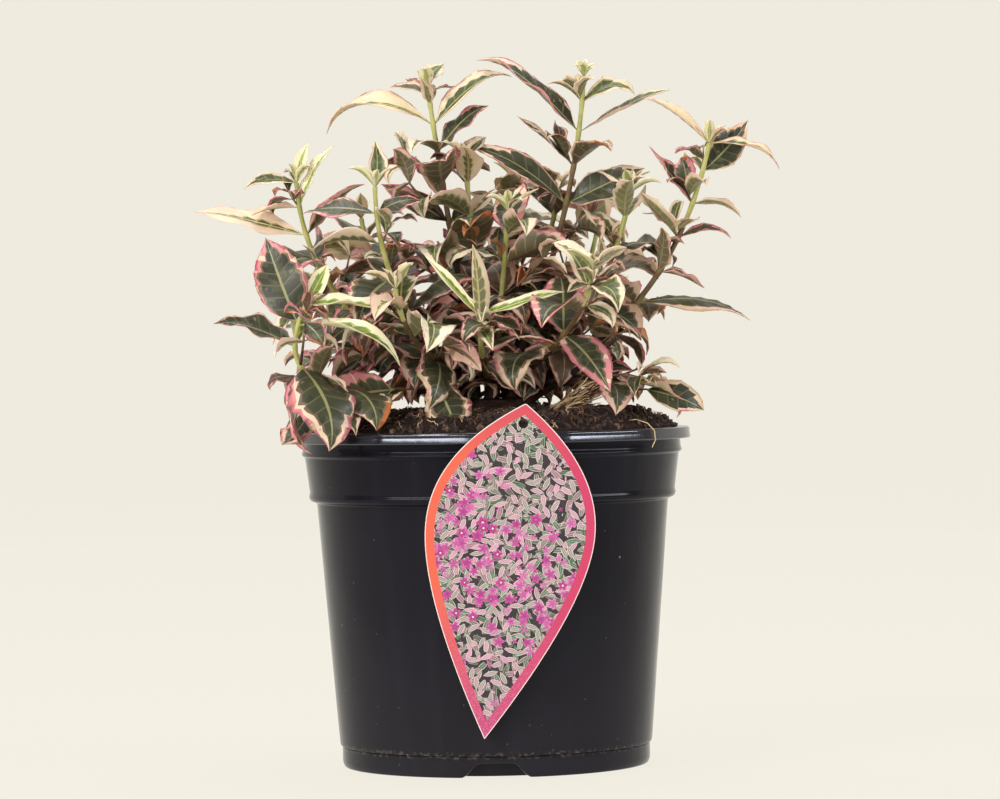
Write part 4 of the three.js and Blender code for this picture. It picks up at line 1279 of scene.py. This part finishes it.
# Leaf colours, each zone of a leaf in a few plain shades: the midrib, the side veins, the green, where it
# fades, the cream margin, the edge, the underside and a dry margin.
leafTones = {
    "young": {
        "rib": [(200, 206, 126)],
        "vein": [(148, 164, 76)],
        "green": [(112, 132, 50), (124, 144, 56), (98, 120, 46)],
        "fade": [(170, 180, 100), (190, 194, 124)],
        "cream": [(232, 226, 186), (238, 230, 196)],
        "edge": [(238, 228, 196), (230, 206, 178)],
        "under": [(150, 162, 92), (164, 174, 104), (188, 194, 124), (204, 202, 150), (226, 218, 180)],
    },
    "pale": {
        "rib": [(206, 196, 138)],
        "vein": [(176, 164, 110)],
        "green": [(84, 88, 52), (100, 104, 62), (72, 76, 48)],
        "fade": [(188, 172, 120), (206, 186, 140)],
        "cream": [(234, 218, 182), (238, 210, 184)],
        "edge": [(236, 202, 178), (220, 152, 146)],
        "under": [(124, 122, 84), (140, 136, 96), (184, 172, 122), (206, 190, 146), (228, 208, 176)],
    },
    "fresh": {
        "rib": [(178, 180, 116)],
        "vein": [(122, 126, 80)],
        "green": [(84, 90, 54), (94, 100, 60), (74, 80, 48)],
        "fade": [(140, 134, 94), (154, 148, 104)],
        "cream": [(232, 214, 182), (236, 220, 192)],
        "edge": [(222, 160, 152), (234, 212, 188)],
        "under": [(116, 116, 82), (128, 126, 90), (160, 154, 112), (178, 164, 128), (218, 196, 168)],
    },
    "old": {
        "rib": [(152, 150, 104)],
        "vein": [(94, 92, 66)],
        "green": [(64, 66, 46), (74, 75, 52), (54, 56, 40)],
        "fade": [(110, 92, 72), (128, 106, 82)],
        "cream": [(222, 190, 166), (230, 206, 180), (216, 140, 142)],
        "edge": [(214, 130, 136), (190, 96, 112), (210, 178, 144)],
        "under": [(98, 90, 68), (108, 100, 76), (142, 130, 98), (150, 124, 102), (208, 176, 152)],
        "scorch": [(190, 108, 52), (146, 84, 48)],
    },
    "shaded": {
        "rib": [(168, 138, 108)],
        "vein": [(118, 94, 74)],
        "green": [(92, 74, 60), (78, 64, 52), (106, 84, 68)],
        "fade": [(158, 120, 98), (142, 102, 88)],
        "cream": [(226, 190, 164), (214, 170, 150), (196, 134, 126)],
        "edge": [(192, 116, 120), (160, 84, 92), (190, 156, 124)],
        "under": [(98, 78, 62), (110, 86, 70), (140, 112, 90), (150, 116, 98), (196, 160, 138)],
        "scorch": [(178, 104, 56), (128, 78, 50)],
    },
    "dry": {
        "rib": [(156, 104, 62)],
        "vein": [(124, 78, 48)],
        "green": [(142, 88, 50), (118, 74, 44), (164, 104, 60)],
        "fade": [(180, 122, 74), (154, 96, 58)],
        "cream": [(198, 146, 100), (180, 122, 78)],
        "edge": [(122, 70, 42), (192, 106, 54)],
        "under": [(134, 92, 60), (146, 102, 68), (160, 116, 80), (170, 124, 86), (180, 136, 98)],
    },
}

# How each tone grows: its breadth, the slope of its fold, the share of its edge and the spread of its twist,
# then the mean and the spread of how the halves bend, how the tip curls and how far the green reaches.
leafForms = {
    "young": (0.85, 0.3, 0.05, 0.3, (0.4, 0.3), (0.2, 0.3), (0.4, 0.08)),
    "pale": (1.0, 0.25, 0.1, 0.5, (0.4, 0.5), (0.5, 0.4), (0.24, 0.09)),
    "fresh": (1.0, 0.2, 0.09, 0.6, (0.3, 0.6), (0.4, 0.6), (0.5, 0.1)),
    "old": (1.12, 0.12, 0.15, 0.6, (0.1, 0.7), (0.5, 0.7), (0.74, 0.12)),
    "shaded": (1.0, 0.15, 0.15, 1.0, (0.2, 1.1), (0.6, 1.1), (0.58, 0.15)),
    "dry": (0.8, 0.3, 0.12, 1.4, (0.6, 1.3), (0.9, 1.3), (0.55, 0.1)),
}
leafPlan = {
    "seed": 2207,
    "split": 262.0,  # the height at which the old leaves are parted
    "thickness": 0.3,
    "stalk": 0.65,  # half width of the leaf stalk
    "stalkEnd": 0.07,  # share of the length
    "bladeEnd": 0.94,
    "tipHalf": 0.1,
    "veinShare": 0.15,  # a vein row's share of the panel beside it
    "scorched": 0.2,  # share of the old leaves with a dry brown margin
    "crownReach": (120.0, 100.0),  # half the width and half the depth of the shrub
    "deepFrom": 0.45,  # how far in from that reach the shade begins
    "youngUntil": {"left_low": 0.3, "front_centre": 0.3},  # the age at which leaves turn, 0 at the tip
    "otherYoungUntil": 0.14,
    "upperUntil": 0.36,
    "dryTwigs": {"above": 0.03, "below": 0.09},  # share of the leaves on twigs that are dry
    "grids": {"large": (7, 2), "middle": (6, 1), "small": (3, 1)},  # panels, and rows of each
}
zones = ["edge", "cream", "fade", "green", "green", "rib", "rib", "green", "green", "fade", "cream", "edge"]


def leafMaterial(name, colour, rough):
    net = materialNet(name)
    inputs = {"Base Color": colour, "Specular IOR Level": 0.45, **net.grained(700.0, 0.28, rough, 0.00012)}
    inputs |= {"Subsurface Weight": 0.25, "Subsurface Scale": 0.0006, "Subsurface Radius": (1.0, 0.9, 0.5)}
    return net.finish(inputs)


def leafFinishes(tone):
    # the tone's materials in one list, and where each zone's shades begin in it
    materials, firsts = [], {}
    for zone, shades in leafTones[tone].items():
        firsts[zone] = len(materials)
        for i, colour in enumerate(shades):
            rough = 0.45 if zone == "rib" else 0.52
            materials.append(leafMaterial(f"{tone}{zone.capitalize()}{i + 1}", colour, rough))
    return materials, firsts


finishes = {tone: leafFinishes(tone) for tone in leafTones}


def leafGrid(panels, halves):
    # lines across a leaf from stalk to tip, with the kind of each row, its panel, and the leaf's faces
    start, vein = leafPlan["stalkEnd"], leafPlan["veinShare"]
    size = (leafPlan["bladeEnd"] - start) / (panels + vein * (panels - 1))
    lines, kinds, owners = [0.0, start / 2, start], ["stalk", "stalk"], [0, 0]
    for panel in range(panels):
        steps = [("panel", size / halves)] * halves + [("vein", size * vein)] * (panel < panels - 1)
        for kind, step in steps:
            lines.append(lines[-1] + step)
            kinds.append(kind)
            owners.append(panel)
    kinds += ["tip", "tip"]
    owners += [panels - 1, panels - 1]
    rows, columns = len(kinds), len(zones)
    # the upper and the lower skin share their rim
    upper = np.arange((rows + 1) * (columns + 1)).reshape(rows + 1, columns + 1)
    lower = upper.copy()
    lower[1:-1, 1:-1] = upper.size + np.arange((rows - 1) * (columns - 1)).reshape(rows - 1, columns - 1)
    top, under = (
        np.stack([skin[:-1, :-1], skin[1:, :-1], skin[1:, 1:], skin[:-1, 1:]], -1).reshape(-1, 4)
        for skin in (upper, lower)
    )
    # the panels between the veins puff up, and the rim has a tooth at each vein
    puffed, teeth = np.zeros(rows + 1), np.ones(rows + 1)
    for i in range(1, rows):
        beside = kinds[i - 1 : i + 1]
        puffed[i] = 1.0 if beside == ["panel", "panel"] else -0.6 if "vein" in beside else 0.0
        if 1 < i < rows - 1:
            teeth[i] += 0.025 if kinds[i] == "vein" else -0.015
    faces = np.concatenate([top, under[:, ::-1]])
    return np.array([*lines, 0.972, 1.0]), kinds, owners, faces, puffed, teeth


leafGrids = {name: leafGrid(*counts) for name, counts in leafPlan["grids"].items()}


def zoneReach(kinds, panels, edgeShare, greening, random):
    # how far the green, its fading and the cream reach on each line, to either side of the midrib
    rows, count = len(kinds), panels[-1] + 1
    base = random.normal(*greening)
    fade = random.uniform(0.05, 0.14)
    edge = edgeShare * random.uniform(0.5, 1.5)
    reaches = np.zeros((2, rows + 1, 3))
    for side in (0, 1):
        green = base + random.normal(0, 0.06)
        start = random.normal(0, 0.07, count)
        wander = green + start + 0.5 * np.roll(start, 1)
        for i in range(rows + 1):
            before, after = max(i - 1, 0), min(i, rows - 1)
            panel = panels[after] if kinds[before] == "vein" or i == 0 else panels[before]
            lobe = 0.07 if kinds[before] == kinds[after] == "panel" else -0.03
            taper = 1 - 0.5 * max(0.0, (panel + 1) / count - 0.55) / 0.45
            reach = np.clip((wander[panel] + lobe + random.normal(0, 0.02)) * taper, 0.13, 0.9)
            faded = min(reach + fade * random.uniform(0.6, 1.4), 0.93)
            cream = max(faded + 0.03, 1 - edge * random.uniform(0.5, 1.5))
            reaches[side, i] = reach, faded, min(cream, 0.975)
    ones = np.ones(rows + 1)
    right, left = (np.stack([0.055 * ones, part[:, 0] * 0.55, *part.T, ones], 1) for part in reaches)
    return np.concatenate([-left[:, ::-1], 0 * ones[:, None], right], axis=1)


def leafShape(leaf, tone, random):
    # one leaf: its places, its faces and the material slot of each face
    length = leaf["length"]
    grid = "large" if length > 36 else "middle" if length > 17 else "small"
    lines, kinds, panels, faces, puffed, teeth = leafGrids[grid]
    broad, slope, edgeShare, twisting, cupping, curling, greening = leafForms[tone]
    across = zoneReach(kinds, panels, edgeShare, greening, random)
    share = np.abs(across)

    # side veins run forwards, so the lines are bent like chevrons
    u = np.clip(lines[:, None] + 0.12 * np.sin(math.pi * lines)[:, None] * share, 0, 1)
    stalkEnd = leafPlan["stalkEnd"] * 0.8
    blade = np.clip((lines - stalkEnd) / (1 - stalkEnd), 0, 1)
    outline = blade**0.62 * (1 - blade) ** 1.3 / 0.2989  # 1 where it is widest, at a third of the length
    width = length * growth["leafWidth"] * leaf["width"] * broad
    stalk = min(leafPlan["stalk"], 0.02 * length + 0.2)
    least = np.interp(lines, [0, 0.1, 1], [stalk, stalk, leafPlan["tipHalf"]])
    half = np.maximum(outline * width / 2, least)
    breadth = half[:, None] * across
    breadth[:, (0, -1)] *= teeth[:, None] * random.uniform(0.975, 1.025, (len(lines), 2))

    # folds, waves and the puffed panels between the veins
    waves = random.uniform(1.2, 2.8, 2) * 2 * math.pi
    phase = random.uniform(0, 2 * math.pi, 2)
    each = np.where(across > 0, waves[0] * u + phase[0], waves[1] * u + phase[1])
    fold = math.atan(slope * random.uniform(0.3, 1.6))
    cups = np.clip(random.normal(*cupping, 2), -1.6, 1.9)
    cup = np.where(across > 0, cups[0], cups[1]) + 0.02
    flat, risen = np.sin(cup * share) / cup, (1 - np.cos(cup * share)) / cup
    wide = np.abs(breadth) / np.maximum(share, 1e-9)
    height = wide * (flat * math.sin(fold) + risen * math.cos(fold))
    breadth = np.sign(across) * wide * (flat * math.cos(fold) - risen * math.sin(fold))
    height += random.uniform(0.04, 0.13) * width * np.sin(each) * share**1.7 * (half / half.max())[:, None]
    height += 0.014 * width * puffed[:, None] * np.sin(math.pi * np.clip(share, 0, 1))

    # the middle line, as the rule bends it, with a curled tip, a sideways sweep and a twist; a leaf of the
    # outline keeps the posture that it was given
    way = leaf["way"]
    face, side = leafFrame(leaf)
    loose = 0.4 if leaf.get("tone") else 1.0
    steps = np.linspace(0, 1, 61)
    bend = leaf["droop"] * steps * (0.4 + 0.6 * steps)
    curl = np.clip(random.normal(*curling), -1.6, 3.0) * loose
    bend += curl * np.clip((steps - 0.45) / 0.55, 0, 1) ** 2
    halfway = (bend[1:] + bend[:-1]) / 2
    runs = ([0, *np.cumsum(turned(halfway)) / 60] for turned in (np.cos, np.sin))
    ahead, fallen = (length * np.interp(u, steps, run)[..., None] for run in runs)
    bent = np.interp(u, steps, bend)[..., None]
    sweep = random.normal(0, 0.08) * u**2
    twist = (random.normal(0.0, twisting) * loose * u**2)[..., None]
    rising = np.cos(bent) * face + np.sin(bent) * way
    places = leaf["root"] - way * growth["sunk"] + (ahead * way - fallen * face)
    places = places + side * (length * sweep)[..., None]
    places = places + (side * np.cos(twist) - rising * np.sin(twist)) * breadth[..., None]
    places = places + (rising * np.cos(twist) + side * np.sin(twist)) * height[..., None]
    thickness = min(leafPlan["thickness"], 0.012 * length + 0.08)
    outwards = np.cross(np.gradient(places, axis=1), np.gradient(places, axis=0))
    outwards /= np.maximum(np.linalg.norm(outwards, axis=2, keepdims=True), 1e-9)
    lower = (places - outwards * thickness)[1:-1, 1:-1]
    corners = np.concatenate([places.reshape(-1, 3), lower.reshape(-1, 3)])
    return corners, faces, leafSlots(tone, kinds, leaf["root"], random)


def leafSlots(tone, kinds, root, random):
    # which shade each face takes, row by row, on the upper skin and then on the lower
    firsts = finishes[tone][1]
    favourite = random.integers(0, 3)
    creamShade, edgeShade, fadeShade, underShade = random.integers(0, 2, 4)
    edges = len(leafTones[tone]["edge"])
    if edges == 3:
        # tan rims to the right, pink margins to the left
        leaning = random.random()
        if leaning < 0.25 + 0.4 * (root[0] > 15):
            edgeShade = 2
        elif leaning > 0.85 - 0.35 * (root[0] < -40):
            creamShade, edgeShade = 2, 1
    scorched = "scorch" in firsts and random.random() < leafPlan["scorched"]
    scorchFrom = random.uniform(0.35, 0.85)
    scorchSide = random.integers(0, 2)
    shades = [favourite] * 4
    skins = []
    for row, kind in enumerate(kinds):
        if kind != "vein":
            shades = [favourite if random.random() < 0.55 else random.integers(0, 3) for _ in range(4)]
        burnt = scorched and scorchFrom < row / len(kinds)
        for column, zone in enumerate(zones):
            side = int(column > 5)
            if kind == "stalk" or zone == "rib":
                skins.append((firsts["rib"], firsts["under"] + 2))
            elif burnt and side == scorchSide and zone in ("edge", "cream"):
                burn = firsts["scorch"] + (0 if zone == "edge" or random.random() < 0.5 else 1)
                skins.append((burn, burn))
            elif kind == "vein" and zone == "green":
                skins.append((firsts["vein"], firsts["under"] + 2))
            elif zone == "green":
                inner = 2 * side + int(column in (4, 7))
                skins.append((firsts["green"] + shades[inner], firsts["under"] + underShade))
            elif zone == "fade":
                skins.append((firsts["fade"] + fadeShade, firsts["under"] + 3))
            elif zone == "cream":
                cream = creamShade if random.random() < 0.8 else random.integers(0, 2)
                skins.append((firsts["cream"] + cream, firsts["under"] + 4))
            else:
                rim = firsts["edge"] + (edgeShade if random.random() < 0.75 else random.integers(0, edges))
                skins.append((rim, rim))
    upper, lower = zip(*skins)
    return upper + lower


# Young at the tips, dark below, brownish in the shade and a few dry: the tones in each part of the shrub,
# each up to its chance.
toneShares = {
    "young": {"young": 0.7, "fresh": 1.0},
    "upper": {"fresh": 0.6, "pale": 0.75, "old": 1.0},
    "leader": {"fresh": 0.2, "old": 1.0},
    "twig": {"shaded": 0.3, "old": 0.64, "pale": 0.72, "fresh": 1.0},
    "deep": {"shaded": 0.45, "old": 1.0},
    "low": {"shaded": 0.55, "dry": 0.8, "old": 1.0},
}


def leafTone(leaf, random):
    x, y, z = leaf["root"]
    below = z < leafPlan["split"]
    wide, far = leafPlan["crownReach"]
    deep = 1 - math.hypot(x / wide, y / far) > leafPlan["deepFrom"]
    chance = random.random()
    if leaf.get("tone"):
        return leaf["tone"]
    onLeader, age = leaf["kind"] == "leader", leaf["age"]
    youngUntil = leafPlan["youngUntil"].get(leaf["shoot"], leafPlan["otherYoungUntil"])
    if leaf["kind"] == "tip" or onLeader and age < youngUntil:
        part = "young"
    elif leaf["kind"] == "low":
        part = "low"
    elif not onLeader and chance < leafPlan["dryTwigs"]["below" if below else "above"]:
        return "dry"
    elif onLeader and age < leafPlan["upperUntil"]:
        part = "upper"
    else:
        part = "deep" if below and deep else "leader" if onLeader else "twig"
    return next(tone for tone, share in toneShares[part].items() if chance < share)


def makeLeaves():
    # one piece for each tone, the old leaves in two, above and below
    random = np.random.default_rng(leafPlan["seed"])
    heaps = {}
    for leaf in placed:
        tone = leafTone(leaf, random)
        corners, faces, slots = leafShape(leaf, tone, random)
        name = f"{tone}Leaves" + ("Below" if tone == "old" and leaf["root"][2] < leafPlan["split"] else "")
        heap = heaps.setdefault(name, {"tone": tone, "places": [], "faces": [], "slots": [], "count": 0})
        heap["places"].append(corners)
        heap["faces"].append(faces + heap["count"])
        heap["slots"] += slots
        heap["count"] += len(corners)
    for name, heap in heaps.items():
        places, faces = np.concatenate(heap["places"]), np.concatenate(heap["faces"])
        piece = meshObject(name, places, faces, finishes[heap["tone"]][0], heap["slots"])
        own(piece, "foliage", *(f"shoot_{leader}" for leader in leaders if name == "oldLeaves"))
        print(name, "triangles:", 2 * len(heap["slots"]))


makeLeaves()
print("leaves made")

# The stems: sides, relief and grain of each piece, and the tones from which it is green and young.
stems = {
    "lowStems": {"Sides": 12, "Relief": 0.0007, "Grain": 520.0, "GreenFrom": 0.5, "YoungFrom": 0.8},
    "leaders": {"Sides": 10, "Relief": 0.00035, "Grain": 420.0, "GreenFrom": 0.55, "YoungFrom": 0.84},
    "twigs": {"Sides": 6, "Relief": 0.00015, "Grain": 500.0, "GreenFrom": 0.5, "YoungFrom": 0.85},
}
knot = {"height": 0.22, "width": 0.012}  # shares of a leader's girth and of its length
youngShoots = {"names": ("left_low", "front_centre", "left_mid", "left_high", "centre"), "younger": 0.22}


def makeStems():
    strands = {name: [] for name in stems}
    split = growth["foliageFrom"]
    t = np.linspace(0, 1, 110)
    for shoot in shoots:
        girth = stemRadius(t)
        for nodeShare in shoot["shares"]:
            girth *= 1 + knot["height"] * np.exp(-(((t - nodeShare) / knot["width"]) ** 2))
        line = np.array([shoot["point"](share) for share in t])
        low, high = t <= split + 0.01, t >= split - 0.01
        young = youngShoots["younger"] if shoot["name"] in youngShoots["names"] else 0.0
        strands["lowStems"].append((line[low], girth[low], t[low]))
        strands["leaders"].append((line[high], girth[high], t[high] + young))
        for root, end, radius, kind in shoot["sprigs"]:
            share = np.linspace(0, 1, 8)
            bow = up * (np.sin(math.pi * share[:, None]) * -0.05 * math.dist(root, end))
            tone = 0.45 + 0.5 * share if kind == "sprig" else 0.35 + 0.4 * share
            path = root + (end - root) * share[:, None] + bow
            strands["twigs"].append((path, radius * (1.1 - 0.4 * share), tone))
    t = np.linspace(0, 1, 40)
    smoothed = np.array([np.interp(t, np.linspace(0, 1, len(branchLine)), part) for part in branchLine.T]).T
    strands["lowStems"].append((smoothed, np.interp(t, [0, 1], bareBranch["radii"]), 0.0 * t))
    barks = {kind: finish[f"{kind.lower()}Bark"] for kind in ("Woody", "Green", "Young")}
    for name, inputs in stems.items():
        piece = baked(strandObject(name, strands[name]), stemTree, **inputs, **barks)
        isLow = name == "lowStems"
        own(piece, "bark" if isLow else "foliage", *(f"stem_{leader}" for leader in leaders if isLow))


def makeCrown():
    # the low woody stool with its lobed root flare, knobbly where each stem leaves it
    r, height, foot, flare = crown["r"], crown["height"], crown["foot"], crown["flare"]
    section = [(0.0, 0.0), (flare, 0.0), (flare, 1.0)]
    section += [(r + 9 * (1 - s) ** 2, height * s) for s in np.linspace(0.2, 0.92, 8)]
    section += [(r * s, height) for s in (0.96, 0.85, 0.7, 0.55, 0.4, 0.25, 0.1, 0.0)]
    places, faces = lathe(section, 120)
    for i, (x, y, z) in enumerate(places):
        share = 1 - z / height
        swell = 1 + crown["lobeDepth"] * share * math.cos(crown["lobes"] * math.atan2(y, x) + 0.6)
        rough = noise.noise(Vector((x * 0.35, y * 0.35, z * 0.2)))
        rough += 0.5 * noise.noise(Vector((x * 0.9, y * 0.9, z * 0.4)))
        inset = 0.985 if z < 1.5 else 0.96 + 0.03 * rough
        knots = sum(1.2 * math.exp(-((x - f[0]) ** 2 + (y - f[1]) ** 2) / 8) for f in feet)
        raised = knots + 0.5 * rough - 0.6 if z > 6 else 0
        places[i] = (x * swell * inset, y * swell * inset, z + foot + raised)
    own(meshObject("woodyCrown", places, faces, [finish["woodyBark"]]), "bark", "crown")


makeStems()
makeCrown()
print("stems and crown made")

# The floor, the backdrop and the light, in metres, with each lamp's place, size, power and colour.
stage = {"front": -12.0, "back": 3.6, "bend": 0.9, "top": 4.2, "half": 12.0}
paper = {"colour": (242, 238, 226), "glow": 0.93, "share": 0.05}
lamps = {
    "keyLeft": ((-1.4, -1.7, 2.0), (0.65, 0.65), 32.0, (1.0, 0.97, 0.93)),
    "stripRight": ((2.4, -0.9, 0.86), (2.3, 0.36), 30.0, (0.97, 0.98, 1.0)),
    "stripLeft": ((-1.63, -1.87, 0.84), (2.5, 0.36), 34.0, (1.0, 0.98, 0.96)),
    "overhead": ((0.0, 0.3, 2.3), (1.6, 1.2), 24.0, (1.0, 0.99, 0.96)),
}
surroundings = {"colour": (0.98, 0.98, 0.96, 1.0), "strength": 0.26}


def makeStage():
    # one sheet of pale paper: a floor that curves up into a backdrop
    bend, back, half = stage["bend"], stage["back"], stage["half"] / metre
    turns = np.linspace(0, math.pi / 2, 24)
    line = [(back - bend + bend * math.sin(a), bend - bend * math.cos(a)) for a in turns]
    line = [(stage["front"], 0.0), *line, (back, stage["top"])]
    places = [(side * half, y / metre, z / metre) for y, z in line for side in (-1, 1)]
    faces = [(2 * i, 2 * i + 1, 2 * i + 3, 2 * i + 2) for i in range(len(line) - 1)]
    dimmed = (*(value * paper["share"] for value in shade(*paper["colour"])[:3]), 1.0)
    inputs = {"Base Color": dimmed, "Roughness": 0.9, "Specular IOR Level": 0.1}
    inputs |= {"Emission Color": paper["colour"], "Emission Strength": paper["glow"]}
    meshObject("backdrop", places, faces, [materialNet("paper").finish(inputs)])


def makeLights():
    for name, (place, size, power, colour) in lamps.items():
        data = bpy.data.lights.new(name, "AREA")
        data.shape = "RECTANGLE"
        data.size, data.size_y = size
        data.energy = power
        data.color = colour
        aimed(addObject(name, data), place, (0, 0, 0.22))
    world = bpy.data.worlds.new("studio")
    world.use_nodes = True
    sky = world.node_tree.nodes["Background"].inputs
    sky[0].default_value = surroundings["colour"]
    sky[1].default_value = surroundings["strength"]
    bpy.context.scene.world = world
    bpy.context.scene.view_settings.view_transform = "Standard"


makeStage()
makeLights()
print("stage and light set")
